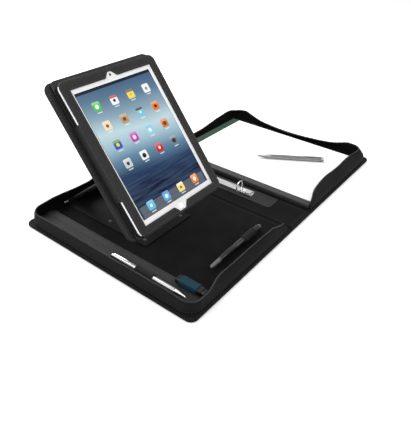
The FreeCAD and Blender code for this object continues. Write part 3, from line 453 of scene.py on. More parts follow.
LEANS = {
    "left": {"outer": (0.0, 0.14, 0.0), "front": (0.012, 0.28, 0.0), "back": (0.009, 0.04, 0.0)},
    "right": {"outer": (0.007, 0.04, 0.66), "front": (0.016, 0.1, 0.2), "back": (0.006, 0.24, 0.5)},
}
SPINE_DIP = {"left": (0.68, 0.07), "right": (0.68, 0.035)}
SPINE_GAP = 0.0035
HINGE_SIDE = 0.036
WALL_FOOT, WALL_RISE = 0.0125, 0.026
REACH = 0.07
SLUMP_LEAN = 0.016
WALL_MIDDLE, WALL_PITCH = 0.00125, 0.003
PAD_SLIDE = next(joint["range_m"][1] for joint in frame["joints"] if joint["name"] == "notepad_slide")


def smooth(share):
    share = max(0.0, min(1.0, share))
    return share * share * (3 - 2 * share)


def draped(point, half):
    """Where a point of a straight gusset wall goes when the cloth leans and wavers."""
    low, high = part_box(half + "_gusset")
    side = 1 if half == "right" else -1
    outer = high.x if side > 0 else low.x
    x_share = smooth(1 - abs(outer - point.x) / REACH)
    y_share = smooth(1 - (high.y - abs(point.y)) / REACH)
    lean_out, sag_out, slump_out = LEANS[half]["outer"]
    edge, sag, slump = LEANS[half]["front" if point.y < 0 else "back"]
    behind_stand = half == "left" and point.y > 0
    past_stand = smooth((-0.115 - point.x) / 0.06)
    if behind_stand:
        edge *= past_stand
    elif half == "left":
        edge *= smooth((point.x + 0.262) / 0.05)
    else:
        edge *= smooth((point.x - HINGE_SIDE) / 0.05)
    rise = smooth((point.z - WALL_FOOT) / WALL_RISE)
    wobble = noise.noise(Vector((point.x * 14, point.y * 14, 3.1 + side)))
    crease = noise.noise(Vector((point.x * 45, point.y * 45, point.z * 60)))
    free = smooth(abs(point.x) / 0.05 - 0.75)
    mid_out = smooth(1.15 - abs(point.y) / 0.14) * x_share
    mid_edge = smooth(1.2 - abs(abs(point.x) - 0.12) / 0.13) * y_share
    waver = rise * (1 + 0.5 * wobble)
    inward = (lean_out + slump_out * SLUMP_LEAN * mid_out) * x_share * waver
    away = (edge + slump * SLUMP_LEAN * mid_edge) * y_share * waver
    ripple = (0.0014 * wobble + 0.0005 * crease) * rise * free
    moved = point.copy()
    moved.x -= side * (inward + ripple * x_share)
    moved.y -= math.copysign(away + ripple * y_share, point.y)
    moved.z -= (inward**2 + away**2) / 0.05 + 0.0012 * rise * free * max(0.0, wobble)
    if behind_stand:
        y_share *= past_stand
    share = max(sag_out * x_share, sag * y_share, slump_out * mid_out, slump * mid_edge) * (1 + 0.2 * wobble)
    if point.y < 0:
        dip, length = SPINE_DIP[half]
        share = max(share, dip * y_share * (1 - smooth((abs(point.x) - HINGE_SIDE) / length)))
    moved.z -= (moved.z - low.z) * share
    if half == "right" and abs(point.y) < 0.15:
        # The outer wall stays clear of the pages when the notepad slides out to it.
        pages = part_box("pad_pages")[1]
        low_down = 1 - smooth((moved.z - pages.z - 0.0012) / 0.005)
        moved.x += max(0.0, pages.x + PAD_SLIDE + 0.0023 - moved.x) * low_down
    return moved


def spine_end(half):
    """How near to the spine a half's wall begins."""
    low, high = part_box(half + "_gusset")
    return low.x + SPINE_GAP if half == "right" else high.x - SPINE_GAP


def wall_line(half, inset, pitch):
    """The line along a gusset, from the spine at the back round to the spine at the front."""
    low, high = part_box(half + "_gusset")
    side = 1 if half == "right" else -1
    outer, inner = (high.x if side > 0 else low.x) - side * inset, spine_end(half)
    edge, radius = high.y - inset, 0.022 - inset
    points = [Vector((inner, edge, 0))]
    for number in (1, -1):
        middle = Vector((outer - side * radius, number * (edge - radius), 0))
        for step in range(13):
            turn = math.radians(90 * (step if number > 0 else 12 - step) / 12)
            reach = Vector((side * math.sin(turn), number * math.cos(turn), 0))
            points.append(middle + reach * radius)
    points.append(Vector((inner, -edge, 0)))
    return spaced(points, pitch)


def wall_steps(half):
    """The steps along the middle of a gusset's cloth, with both of its ends."""
    steps = wall_line(half, WALL_MIDDLE, WALL_PITCH)
    ends = [Vector((spine_end(half), y, 0)) for y in (steps[0][0].y, -steps[0][0].y)]
    return [(ends[0], steps[0][1]), *steps, (ends[1], steps[-1][1])]


def drawn_out(steps, rows, where):
    """A sheet as long as a line of steps. where() places a point by its step and its row's share."""
    sheet = start("grid", x_subdivisions=len(steps) - 1, y_subdivisions=rows, size=1)
    for vertex in sheet.data.vertices:
        column = round((vertex.co.x + 0.5) * (len(steps) - 1))
        vertex.co = where(steps[column], vertex.co.y + 0.5)
    return sheet


for half, body, side in HALVES:
    node = half + "_gusset"
    low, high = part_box(node)

    def upright_wall(step, share):
        return draped(Vector((step[0].x, step[0].y, low.z + share * (high.z - low.z))), half)

    wall = outward_all(drawn_out(wall_steps(half), 12, upright_wall))
    worked(wall, "SOLIDIFY", thickness=0.0021, offset=0)
    fit(wall, node + "_cloth", body, cover_cloth, "cover_fabric", node, angle=70)

    for name, inset, height in (("rim", -0.0001, high.z - 0.0035), ("foot", 0.0, low.z + 0.0045)):
        line = [draped(Vector((p.x, p.y, height)), half) for p, way in wall_line(half, inset, 0.004)]
        seam = sewn(line, thick=0.0003, tall=0.00035)
        fit(seam, "%s_%s_seam" % (half, name), body, thread, "cover_fabric")

# ------------------------------------------------------------------ zip
# A woven tape is folded along each rim and carries one row of dark nickel teeth, moulded round
# its cord. The tape is sewn to the gusset.

zip_tape = woven("zip_tape", (0.003, 0.003, 0.0032), (0.0075, 0.0075, 0.008), 0.0007)
nickel = Finish("dark_nickel", Metallic=1.0)
worn = nickel.noise(nickel.place(), 500)
nickel.show(
    Base_Color=nickel.mix(worn, (0.03, 0.03, 0.032), (0.09, 0.09, 0.095)),
    Roughness=0.32 + worn * 0.25,
)
# across and up, from the outer hem over the cord to the inner hem
TAPE_SECTION = (
    (-0.0016, -0.0048), (-0.0015, 0.0), (-0.0006, 0.0008),
    (0.0006, 0.0008), (0.0015, 0.0), (0.0016, -0.0048),
)

for half, body, side in HALVES:
    node = half + "_zip_teeth"
    low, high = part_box(node)

    def folded_tape(step, share):
        spot, way = step
        offset, lift = TAPE_SECTION[round(share * 5)]
        return draped(Vector((spot.x, spot.y, low.z + lift)), half) + way.cross(UP).normalized() * offset

    tape = outward_all(drawn_out(wall_steps(half), 5, folded_tape))
    worked(tape, "SOLIDIFY", thickness=0.0006, offset=0)
    worked(tape, "SUBSURF", levels=1, render_levels=1)
    fit(tape, node + "_tape", body, zip_tape, "cover_fabric", angle=70)

    tooth = block((-0.0006, -0.0011, 0), (0.0006, 0.0011, 0.0016), soft=0.0004, steps=1)
    places = []
    for spot, way in wall_line(half, WALL_MIDDLE, 0.0021):
        base = draped(Vector((spot.x, spot.y, low.z + 0.0006)), half)
        places.append(set_down(base, way, way.cross(UP), UP))
    fit(repeated(tooth, places), node + "_row", body, nickel, "zip_metal", node)

# ------------------------------------------------------------------ linings
# Thin brushed cloth lines each half and the spine. It is laid over the board, pressed down
# along its edge and sewn there, and keeps a few soft ripples.

suede = Finish("brushed_lining", Specular_IOR_Level=0.06)
where = suede.place()
nap = suede.noise(where, 38, 4.0)
pile = suede.noise(where, 2200, 2.0)
suede.show(
    Base_Color=suede.mix(nap * 0.75 + pile * 0.35 - 0.05, (0.002, 0.002, 0.0022), (0.0085, 0.0085, 0.0092)),
    Roughness=0.78 + pile * 0.2,
    Normal=suede.relief(pile + nap, 0.00012),
)


def laid(node, body, side, radius):
    """A sheet laid flat in a node's place, its outer corners drawn in to a radius."""
    low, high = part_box(node)
    middle, size = (low + high) / 2, high - low
    columns, rows = round(size.x / 0.004), round(size.y / 0.004)
    sheet = start("grid", x_subdivisions=columns, y_subdivisions=rows, size=1)
    outer = high.x if side > 0 else -low.x
    for vertex in sheet.data.vertices:
        spot = Vector((middle.x + vertex.co.x * size.x, middle.y + vertex.co.y * size.y, 0))
        over = Vector((max(0.0, side * spot.x - outer + radius), max(0.0, abs(spot.y) - high.y + radius)))
        if side and over.x > 0 and over.y > 0:
            keep = max(over) / over.length
            spot.x -= side * over.x * (1 - keep)
            spot.y -= math.copysign(over.y * (1 - keep), spot.y)
        edge = min(high.x - spot.x, spot.x - low.x, high.y - abs(spot.y))
        ripple = noise.noise(spot * 22) * 0.5 + 0.5
        spot.z = high.z - 0.0005 * ripple * smooth(edge / 0.02) - 0.0003 * (1 - smooth(edge / 0.003))
        vertex.co = spot
    worked(sheet, "SOLIDIFY", thickness=0.0004, offset=-1)
    fit(sheet, node + "_cloth", body, suede, "lining_cloth", node, angle=60)
    seam = ring_of(low, high, max(radius - 0.003, 0.002), high.z - 0.0002, margin=0.003)
    fit(sewn(seam), node + "_seam", body, thread, "lining_cloth")


laid("left_lining", "tray", -1, 0.0195)
laid("right_lining", "cover", 1, 0.0195)
laid("spine_lining", "spine", 0, 0.002)

# ------------------------------------------------------------------ organiser strip
# A thin foam pad under grey grained leather runs along the outer wall. A sewn channel divides
# it lengthwise, and a second row of stitches follows its outline. Its leather is a darker copy
# of the grey leather, with shade painted into its colour.


CLOTH_FRAMES = 20


def hide(name, dark, light, grain, gloss):
    """Grained leather: small pebbles, broad uneven dye and a worn polish on the high spots."""
    leather = Finish(name, Specular_IOR_Level=0.22)
    where = leather.place()
    pebbles = leather.node("TexVoronoi", {"feature": "DISTANCE_TO_EDGE"}, {"Vector": where, "Scale": grain})
    pebbles = (pebbles * 5.0).reckon("MINIMUM", 1.0)
    fine = leather.noise(where, grain * 2.2)
    broad = leather.noise(where, 24)
    return leather.show(
        Base_Color=leather.mix(broad * 0.6 + pebbles * 0.3 + fine * 0.15, dark, light),
        Roughness=gloss + fine * 0.18 - pebbles * 0.06,
        Normal=leather.relief(pebbles + fine * 0.5, 0.00016),
    )


def stuffed(piece, voxel, cap, low, high):
    """Swells a soft piece by a short cloth run, and keeps it inside its box."""
    worked(piece, "REMESH", mode="VOXEL", voxel_size=voxel)
    before = [vertex.co.copy() for vertex in piece.data.vertices]
    cloth = piece.modifiers.new("cloth", "CLOTH")
    cloth.settings.use_pressure = True
    cloth.settings.uniform_pressure_force = 4.0
    cloth.settings.effector_weights.gravity = 0
    for number in range(1, CLOTH_FRAMES + 1):
        bpy.context.scene.frame_set(number)
    bpy.ops.object.modifier_apply(modifier="cloth")
    bpy.context.scene.frame_set(1)
    for vertex, was in zip(piece.data.vertices, before):
        move = vertex.co - was
        vertex.co = was + move * min(1.0, cap / max(move.length, 1e-9))
    worked(piece, "SUBSURF", levels=1, render_levels=1)
    for vertex in piece.data.vertices:
        vertex.co = [min(max(c, a), b) for c, a, b in zip(vertex.co, low, high)]
    return piece


def onto(piece, points, way):
    """The points carried along a direction until they meet the piece's surface."""
    way = Vector(way)
    met = []
    for point in points:
        hit, spot, _, _ = piece.ray_cast(Vector(point) - way * 0.05, way)
        if hit:
            met.append(spot)
    return met


grey_leather = hide("grey_leather", (0.022, 0.022, 0.0225), (0.05, 0.05, 0.051), 900, 0.48)
# The strip gets a darker copy of the same grey leather: painted shade.
shaded_strip_leather = hide("grey_leather_painted_shade", (0.012, 0.012, 0.0122), (0.028, 0.028, 0.0285), 900, 0.55)
grey_thread = Finish("grey_thread", Roughness=0.6)
fibres = grey_thread.noise(grey_thread.place(), 1500)
grey_thread.show(Base_Color=grey_thread.mix(fibres, (0.03,) * 3, (0.08,) * 3))

low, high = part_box("organiser_strip")
ROOM = 0.0014
strip = block(low + Vector((ROOM, ROOM, 0.0003)), high - Vector((ROOM, ROOM, ROOM)), 0.006, 0.001)
stuffed(strip, 0.0028, 0.0013, low, high)
channel = low.x + 0.024
STRIP_SEAM = 0.0045
for vertex in strip.data.vertices:
    near = abs(vertex.co.x - channel) / 0.0035
    if near < 1 and vertex.co.z > low.z + 0.002:
        vertex.co.z -= 0.0022 * (1 - near * near) ** 2
    edge = min(vertex.co.x - low.x, high.x - vertex.co.x, vertex.co.y - low.y, high.y - vertex.co.y)
    if abs(edge - STRIP_SEAM) < 0.0016 and vertex.co.z > low.z + 0.002:
        vertex.co.z -= 0.0006
line = [Vector((channel, low.y + 0.006 + (high.y - low.y - 0.012) * n / 80, 0)) for n in range(81)]
border = [p for p, way in spaced(ring_of(low, high, 0.005, 0, margin=STRIP_SEAM), 0.003)]
for name, points in (("strip_channel_seam", line), ("strip_border_seam", border)):
    fit(sewn(onto(strip, points, -UP)), name, "tray", grey_thread, "grey_leather")
fit(strip, "organiser_strip_pad", "tray", shaded_strip_leather, "grey_leather", "organiser_strip", angle=60)

# ------------------------------------------------------------------ elastic loops
# Three bands of ribbed elastic hold the pen, the stylus and the memory stick. Each is one strip
# turned round its piece, with both ends sewn under it.


RIB_PITCH, BAND_HALF = 0.0016, 0.0006


def elastic(name, dark, light):
    """Knitted elastic: fuzzy threads, a little uneven in colour."""
    web = Finish(name, Specular_IOR_Level=0.15, Sheen_Weight=0.03)
    where = web.place()
    fuzz = web.noise(where, 1800, 3.0)
    worn = web.noise(where, 160)
    return web.show(
        Base_Color=web.mix(fuzz * 0.6 + worn * 0.4, dark, light),
        Roughness=0.7 + fuzz * 0.25,
        Normal=web.relief(fuzz, 0.00015),
    )


def band(name, node, points, along, finish, slot):
    """A ribbed band round a closed ring of points, its width running across them."""
    along = Vector(along)
    low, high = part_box(node)
    middle = (low + high) / 2
    length = abs((high - low).dot(along))

    def ribbed(point, share):
        share = share * 2 - 1
        rib = 0.00014 * math.cos(math.pi * share * length / RIB_PITCH) - 0.0001 + 0.0003 * abs(share) ** 6
        return point + (point - middle).normalized() * rib + along * (share * length / 2)

    web = drawn_out(points + points[:1], round(length / 0.0004), ribbed)
    choose(web, "VERT", lambda co, way: True)
    bpy.ops.mesh.remove_doubles(threshold=1e-6)
    bpy.ops.mesh.normals_make_consistent(inside=False)
    close()
    worked(web, "SOLIDIFY", thickness=0.0007, offset=0)
    fit(web, name, "tray", finish, slot, node, angle=50)
    for end in (-1, 1):
        base = Vector((middle.x, middle.y, low.z)) + along * end * (length / 2 - 0.0015)
        base += UP * 0.0013
        side = along.cross(UP) * 0.004
        fit(sewn([base - side, base + side]), "%s_tack_%d" % (name, end + 2), "tray", thread, slot)


def circle_round(node, along):
    """A circle inside a round loop, halfway through its band."""
    low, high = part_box(node)
    radius = (high.z - low.z) / 2 - BAND_HALF
    side = Vector(along).cross(UP)
    turns = [2 * math.pi * n / 48 for n in range(48)]
    return [(low + high) / 2 + side * (radius * math.cos(a)) + UP * (radius * math.sin(a)) for a in turns]


black_elastic = elastic("black_elastic", (0.004, 0.004, 0.0045), (0.016, 0.016, 0.017))
blue_elastic = elastic("blue_elastic", (0.003, 0.014, 0.024), (0.008, 0.045, 0.075))
for node, along in (("pen_loop", (0, 1, 0)), ("stylus_loop", (1, 0, 0))):
    band(node + "_band", node, circle_round(node, along), along, black_elastic, "elastic")
low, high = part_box("usb_loop")
outline = ring_of(low.xz, high.xz, 0.0024, 0, margin=BAND_HALF)
outline = [Vector((p.x, (low.y + high.y) / 2, p.y)) for p in outline[:-1]]
band("stick_loop_band", "usb_loop", outline, (0, 1, 0), blue_elastic, "blue_elastic")

# ------------------------------------------------------------------ silver pen
# A brushed steel ball pen with a polished nose, a centre ring and a sprung clip. Barrel and
# nose are turned parts that screw together.


def turned(stations, spot, way, sides=32):
    """Lathe work: a disc drawn out along its axis to each station's reach and radius."""
    (reach, radius), *others = stations
    piece = start("circle", vertices=sides, radius=radius, fill_type="NGON")
    piece.data.transform(Matrix.Translation((0, 0, reach)))
    choose(piece, "FACE", lambda mid, normal: True)
    for next_reach, next_radius in others:
        bpy.ops.mesh.extrude_region_move(TRANSFORM_OT_translate={"value": (0, 0, next_reach - reach)})
        scale = next_radius / radius
        bpy.ops.transform.resize(value=(scale, scale, 1), center_override=(0, 0, next_reach))
        reach, radius = next_reach, next_radius
    bpy.ops.mesh.select_all(action="SELECT")
    bpy.ops.mesh.normals_make_consistent(inside=False)
    close()
    piece.data.transform(Matrix.Translation(spot) @ Vector(way).to_track_quat("Z", "Y").to_matrix().to_4x4())
    return piece


def shares(radius, stations):
    """Lathe stations whose radii are written as shares of one radius."""
    return [(reach, radius * share) for reach, share in stations]


def metal(name, dark, light, rough, scale=(1, 1, 1), scratch=240):
    """Metal with fine marks, stretched along its brushing, and smudges in its shine."""
    plate = Finish(name, Metallic=1.0)
    where = plate.node("Mapping", inputs={"Vector": plate.place(), "Scale": scale})
    marks = plate.noise(where, scratch, 4.0)
    smudge = plate.noise(plate.place(), 45)
    return plate.show(
        Base_Color=plate.mix(smudge * 0.6 + marks * 0.4, dark, light),
        Roughness=rough + marks * 0.1 + smudge * 0.1,
        Normal=plate.relief(marks, 0.00002),
    )


chrome = metal("polished_chrome", (0.62, 0.62, 0.63), (0.85, 0.85, 0.86), 0.04)
brushed = metal("brushed_silver", (0.3, 0.3, 0.31), (0.48, 0.48, 0.49), 0.18, (1, 0.05, 1), 900)
# A darker copy of the chrome for the desk pen: painted dark reflections.
shaded_pen_chrome = metal("chrome_painted_dark_reflections", (0.2, 0.2, 0.205), (0.36, 0.36, 0.365), 0.03)


def pen_clip(node, body, way, lift, finish):
    """A narrow spring bar over the barrel: a foot at one end, a ball at the other."""
    low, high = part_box(node)
    spot = Vector(((low.x + high.x) / 2, (low.y + high.y) / 2, low.z + lift))
    length = math.hypot(high.x - low.x, high.y - low.y) - 0.002
    bar = start("cube", size=1)
    bar.data.transform(Matrix.Diagonal((0.0022, length, 0.0006, 1)))
    choose(bar, "EDGE", lambda mid, run: abs(run.y) > 0.5)
    bpy.ops.mesh.subdivide(number_cuts=9)
    close()
    for vertex in bar.data.vertices:
        share = vertex.co.y / length
        vertex.co.z += 0.0007 * math.cos(share * math.pi) - 0.0005
        vertex.co.x *= 1 - 0.25 * (share + 0.5)
    worked(bar, "BEVEL", width=0.00018, segments=2, limit_method="ANGLE")
    ball = start("uv_sphere", segments=12, ring_count=8, radius=0.0009)
    ball.data.transform(Matrix.Translation((0, length / 2 - 0.0012, -0.0007)))
    foot = block((-0.0012, -length / 2, -0.0012), (0.0012, -length / 2 + 0.003, 0.0002), soft=0.0003, steps=2)
    alone(bar, ball, foot)
    bpy.ops.object.join()
    way = Vector(way).normalized()
    bar.data.transform(set_down(spot, way.cross(UP), way, UP))
    fit(bar, node + "_bar", body, finish, "chrome", node)


low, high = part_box("silver_pen")
middle, length, radius = (low + high) / 2, high.y - low.y, (high.z - low.z) / 2
nose = Vector((middle.x, low.y, middle.z))
stations = [(0, 0.0004), (0.0018, 0.0011), (0.0022, 0.0015), (0.016, 0.0036), (0.0165, 0.0041)]
stations += [(0.018, 0.0041), (0.0185, 0.0038)]
fit(turned(stations, nose, (0, 1, 0)), "silver_pen_nose", "silver_pen", chrome, "chrome")
stations = [(0.0185, 0.0039), (0.024, 0.0044)]
stations += shares(radius, (
    (0.05, 0.97), (0.072, 0.985), (0.0722, 0.94), (0.0728, 0.94), (0.073, 1), (0.0765, 1), (0.0767, 0.94),
    (0.0773, 0.94), (0.0775, 0.985), (length - 0.02, 0.96), (length - 0.006, 0.9), (length - 0.0056, 0.8),
    (length - 0.0015, 0.78), (length - 0.0004, 0.68), (length, 0.4),
))
barrel = turned(stations, nose, (0, 1, 0), 40)
fit(barrel, "silver_pen_barrel", "silver_pen", brushed, "silver_barrel", "silver_pen")
pen_clip("silver_pen_clip", "silver_pen", (0, -1, 0), 0.0011, chrome)

# ------------------------------------------------------------------ stylus
# A thick pen with a moulded black barrel. Its tapered tip section is light grey rubber, a small
# bright collar parts the two, and a grey plug closes the far end.


def plastic(name, dark, light, rough, grain=1300, deep=0.00003, **constants):
    """Moulded plastic: a fine spark-eroded texture, a little uneven in shine."""
    moulded = Finish(name, **constants)
    where = moulded.place()
    spark = moulded.noise(where, grain, 4.0)
    rubbed = moulded.noise(where, 30)
    return moulded.show(
        Base_Color=moulded.mix(rubbed * 0.7 + spark * 0.3, dark, light),
        Roughness=rough + spark * 0.1 + rubbed * 0.12,
        Normal=moulded.relief(spark, deep),
    )


dark, light = (0.003, 0.003, 0.0033), (0.009, 0.009, 0.0095)
black_plastic = plastic("black_plastic", dark, light, 0.2, Specular_IOR_Level=0.35)
grey_rubber = plastic("grey_rubber", (0.07, 0.07, 0.073), (0.12, 0.12, 0.123), 0.45)
low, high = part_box("stylus")
length, radius = high.x - low.x, (high.z - low.z) / 2
tip = Vector((low.x, (low.y + high.y) / 2, (low.z + high.z) / 2))
stations = ((0, 0.22), (0.0012, 0.42), (0.003, 0.52), (0.022, 0.68), (0.0225, 0.62))
fit(turned(shares(radius, stations), tip, (1, 0, 0)), "stylus_tip", "stylus", grey_rubber, "black_plastic")
stations = ((0.0226, 0.74), (0.0232, 0.8), (0.026, 0.8), (0.0266, 0.74))
fit(turned(shares(radius, stations), tip, (1, 0, 0)), "stylus_collar", "stylus", nickel, "chrome")
stations = (
    (0.0267, 0.76), (0.032, 0.9), (0.037, 0.985), (0.06, 1), (0.0603, 0.96), (0.0612, 0.96), (0.0615, 1),
    (length - 0.006, 1), (length - 0.0045, 0.95), (length - 0.004, 0.8),
)
barrel = turned(shares(radius, stations), tip, (1, 0, 0), 40)
fit(barrel, "stylus_barrel", "stylus", black_plastic, "black_plastic", "stylus")
stations = ((length - 0.0042, 0.82), (length - 0.002, 0.8), (length - 0.0006, 0.68), (length, 0.4))
fit(turned(shares(radius, stations), tip, (1, 0, 0)), "stylus_plug", "stylus", grey_rubber, "black_plastic")

# ------------------------------------------------------------------ memory stick
# A flat black moulded stick with a slip-on cap. Its shell is two halves, and the cap has grip
# ribs.


def merged(node):
    """A copy of a node's mesh with its corners joined up again."""
    piece = bpy.data.objects.new(node + "_copy", frame["nodes"][node].data.copy())
    bpy.context.scene.collection.objects.link(piece)
    choose(piece, "VERT", lambda co, way: True)
    bpy.ops.mesh.remove_doubles(threshold=1e-6)
    bpy.ops.mesh.dissolve_limited(angle_limit=math.radians(0.5))
    bpy.ops.mesh.normals_make_consistent(inside=False)
    close()
    return piece


def refined(node, body, finish, slot, width):
    """A node's shape with its sharp edges broken, as the finished part has them."""
    settings = {"segments": 2, "limit_method": "ANGLE", "angle_limit": math.radians(38)}
    piece = worked(merged(node), "BEVEL", width=width, use_clamp_overlap=True, **settings)
    fit(piece, node + "_finished", body, finish, slot, node)


refined("usb_stick", "usb_stick", black_plastic, "black_plastic", 0.0006)
refined("usb_cap", "usb_stick", black_plastic, "black_plastic", 0.0006)
low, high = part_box("usb_cap")
rib_low, rib_high = (low.x + 0.0015, -0.0003, high.z - 0.0002), (high.x - 0.0015, 0.0003, high.z + 0.0003)
rib = block(rib_low, rib_high, soft=0.00015, steps=2)
places = [Matrix.Translation((0, low.y + 0.0012 + n * 0.0012, 0)) for n in range(4)]
fit(repeated(rib, places), "cap_ribs", "usb_stick", black_plastic, "black_plastic")
low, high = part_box("usb_stick")
PROUD = 0.0001
ring_low = (low.x - PROUD, high.y - 0.009, low.z - PROUD)
ring = block(ring_low, (high.x + PROUD, high.y - 0.0075, high.z + PROUD), soft=0.0004, steps=2)
fit(ring, "stick_band", "usb_stick", chrome, "chrome")

# ------------------------------------------------------------------ stand
# Powder-coated steel plates hold the tablet up: a base plate on the tray floor, a leaf that
# turns on a bright rod, and a bracket on the holder's back joined by a pin.

dark, light = (0.003, 0.003, 0.0032), (0.007, 0.007, 0.0074)
coated = plastic("powder_coat", dark, light, 0.55, 1600, 0.00006, Specular_IOR_Level=0.1)
steel = metal("bright_steel", (0.5, 0.5, 0.51), (0.72, 0.72, 0.73), 0.12, (0.05, 1, 1), 900)
refined("stand_base", "tray", coated, "steel", 0.0006)
refined("stand_rod", "tray", steel, "steel", 0.0004)
low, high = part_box("stand_rod")
leaf_finish = Finish("coat_and_bare_barrel")
where = leaf_finish.place()
bare = (leaf_finish.axis(where, 1) > low.y - 0.003) * (leaf_finish.axis(where, 2) < high.z + 0.003)
marks = leaf_finish.noise(where, 700)
paint = leaf_finish.mix(marks, dark, (0.008, 0.008, 0.0085))
leaf_finish.show(
    Base_Color=leaf_finish.mix(bare, paint, (0.42, 0.42, 0.43)),
    Metallic=bare,
    Roughness=0.5 - bare * 0.25 + marks * 0.1,
    Normal=leaf_finish.relief(leaf_finish.noise(where, 1600, 4.0), 0.00006),
)
refined("stand_leaf", "stand_leaf", leaf_finish, "steel", 0.0005)
refined("leaf_pin", "bracket", steel, "steel", 0.0004)
refined("holder_bracket", "bracket", coated, "steel", 0.0005)
refined("hub_disc", "holder", coated, "steel", 0.0004)
refined("hub_cap", "holder", steel, "steel", 0.0005)
low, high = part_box("stand_base")
stations = [(0, 0.0032), (0.0006, 0.003), (0.001, 0.0024), (0.00101, 0.0016), (0.0005, 0.0013)]
screw = turned(stations, (0, 0, 0), UP, 20)
spots = [(x, y) for x in (low.x + 0.012, high.x - 0.012) for y in (low.y + 0.012, low.y + 0.09)]
places = [Matrix.Translation((x, y, low.z + 0.0016)) for x, y in spots]
fit(repeated(screw, places), "base_screws", "tray", nickel, "steel")

# ------------------------------------------------------------------ tablet holder
# A foam pad under black leather backs a stiff shell. A leather frame is sewn over the front,
# with side flaps that wrap the edges and a notched window over the screen.

turning = next(joint for joint in frame["joints"] if joint["name"] == "tablet_turn")
facing = Vector(turning["axis"])
tilt = math.atan2(-facing.y, facing.z)
glass_middle = Vector(turning["pos_m"]) + facing * 0.02
upright = Matrix.Translation(glass_middle) @ Matrix.Rotation(tilt, 4, "X")
level = upright.inverted()


def level_box(node):
    """A node's lowest and highest corners in the tablet's own directions."""
    spots = [level @ vertex.co for vertex in frame["nodes"][node].data.vertices]
    return [Vector([pick(s[n] for s in spots) for n in range(3)]) for pick in (min, max)]


def outlines(piece, up):
    """The closed outlines of the highest flat face that looks up, the widest first."""
    up = Vector(up)
    mesh = piece.data
    faces = [face for face in mesh.polygons if face.normal.dot(up) > 0.99]
    top = max(face.center.dot(up) for face in faces)
    count = {}
    for face in faces:
        if face.center.dot(up) > top - 0.0002:
            for key in face.edge_keys:
                count[key] = count.get(key, 0) + 1
    links = {}
    for first, second in (key for key, times in count.items() if times == 1):
        links.setdefault(first, []).append(second)
        links.setdefault(second, []).append(first)
    loops = []
    while links:
        here = next(iter(links))
        loop = []
        while here in links:
            loop.append(here)
            ahead = [n for n in links.pop(here) if n in links]
            here = ahead[0] if ahead else None
        spots = [mesh.vertices[n].co.copy() for n in loop]
        area = sum((a.cross(b)).dot(up) for a, b in zip(spots, spots[1:] + spots[:1]))
        loops.append((abs(area), spots[::-1] if area < 0 else spots))
    return [spots + spots[:1] for area, spots in sorted(loops, key=lambda loop: -loop[0])]


def inset_line(loop, up, amount):
    """A line that keeps its distance inside a closed outline; a negative one goes outside."""
    steps = spaced(loop, 0.0015)
    moved = [spot + Vector(up).cross(way) * amount for spot, way in steps]
    clear = [p for p in moved if min((p - spot).length for spot, way in steps) > abs(amount) * 0.93]
    return clear + clear[:1]


black_leather = hide("black_leather", (0.004, 0.004, 0.0043), (0.015, 0.015, 0.0158), 750, 0.38)

frame_piece = merged("holder_frame")
for number, loop in enumerate(outlines(frame_piece, facing)):
    seam = sewn(inset_line(loop, facing, 0.0022 if number == 0 else -0.0022), facing, 0.0022, 0.0013, 0.00028)
    fit(seam, "frame_seam_%d" % (number + 1), "holder", grey_thread, "black_leather")
bpy.data.objects.remove(frame_piece)
refined("holder_frame", "holder", black_leather, "black_leather", 0.0005)
refined("holder_shell", "holder", black_plastic, "black_plastic", 0.0005)

low, high = level_box("holder_back")
pad = block(low + Vector((0.001, 0.001, 0.001)), high - Vector((0.001, 0.001, 0.0002)), 0.012, 0.0025)
stuffed(pad, 0.0032, 0.001, low, high)
hub_low, hub_high = level_box("hub_disc")
hub = (hub_low + hub_high) / 2
hub_radius = (hub_high.x - hub_low.x) / 2
bed = hub_high.z + 0.0004
BACK_SEAM = 0.007
for vertex in pad.data.vertices:
    if vertex.co.z < (low.z + high.z) / 2:
        reach = (vertex.co.xy - hub.xy).length
        sunk = 1 - smooth((reach - hub_radius - 0.0006) / 0.004)
        vertex.co.z += max(0.0, bed - vertex.co.z) * sunk
        edge = min(vertex.co.x - low.x, high.x - vertex.co.x, vertex.co.y - low.y, high.y - vertex.co.y)
        vertex.co.z += 0.0007 * max(0.0, 1 - abs(edge - BACK_SEAM) / 0.0022)
FLANGE = 0.011
flange_low = Vector((low.x - FLANGE, low.y + 0.001, high.z - 0.0034))
flange_high = Vector((high.x + FLANGE, high.y - 0.0002, high.z - 0.0008))
flange = block(flange_low, flange_high, 0.014, 0.0009)
line = ring_of(flange_low, flange_high, 0.011, flange_high.z + SEAM_LIFT, margin=0.003)
flange_seam = sewn(line)
for piece, name, finish in ((flange, "back_border", black_leather), (flange_seam, "back_border_seam", grey_thread)):
    piece.data.transform(upright)
    fit(piece, name, "holder", finish, "black_leather")
line = ring_of(low, high, 0.008, 0, margin=BACK_SEAM)
seam = sewn(onto(pad, [p for p, way in spaced(line, 0.003)], UP), -UP, 0.0026, 0.0014)
seam.data.transform(upright)
fit(seam, "back_pad_seam", "holder", grey_thread, "black_leather")
pad.data.transform(upright)
fit(pad, "back_pad", "holder", black_leather, "black_leather", "holder_back", angle=60)

# ------------------------------------------------------------------ tablet
# A thin satin aluminium case with a white-bordered glass front. The lit display shows a lake
# under an evening sky, four rows of plain coloured tiles and a shelf of four more.

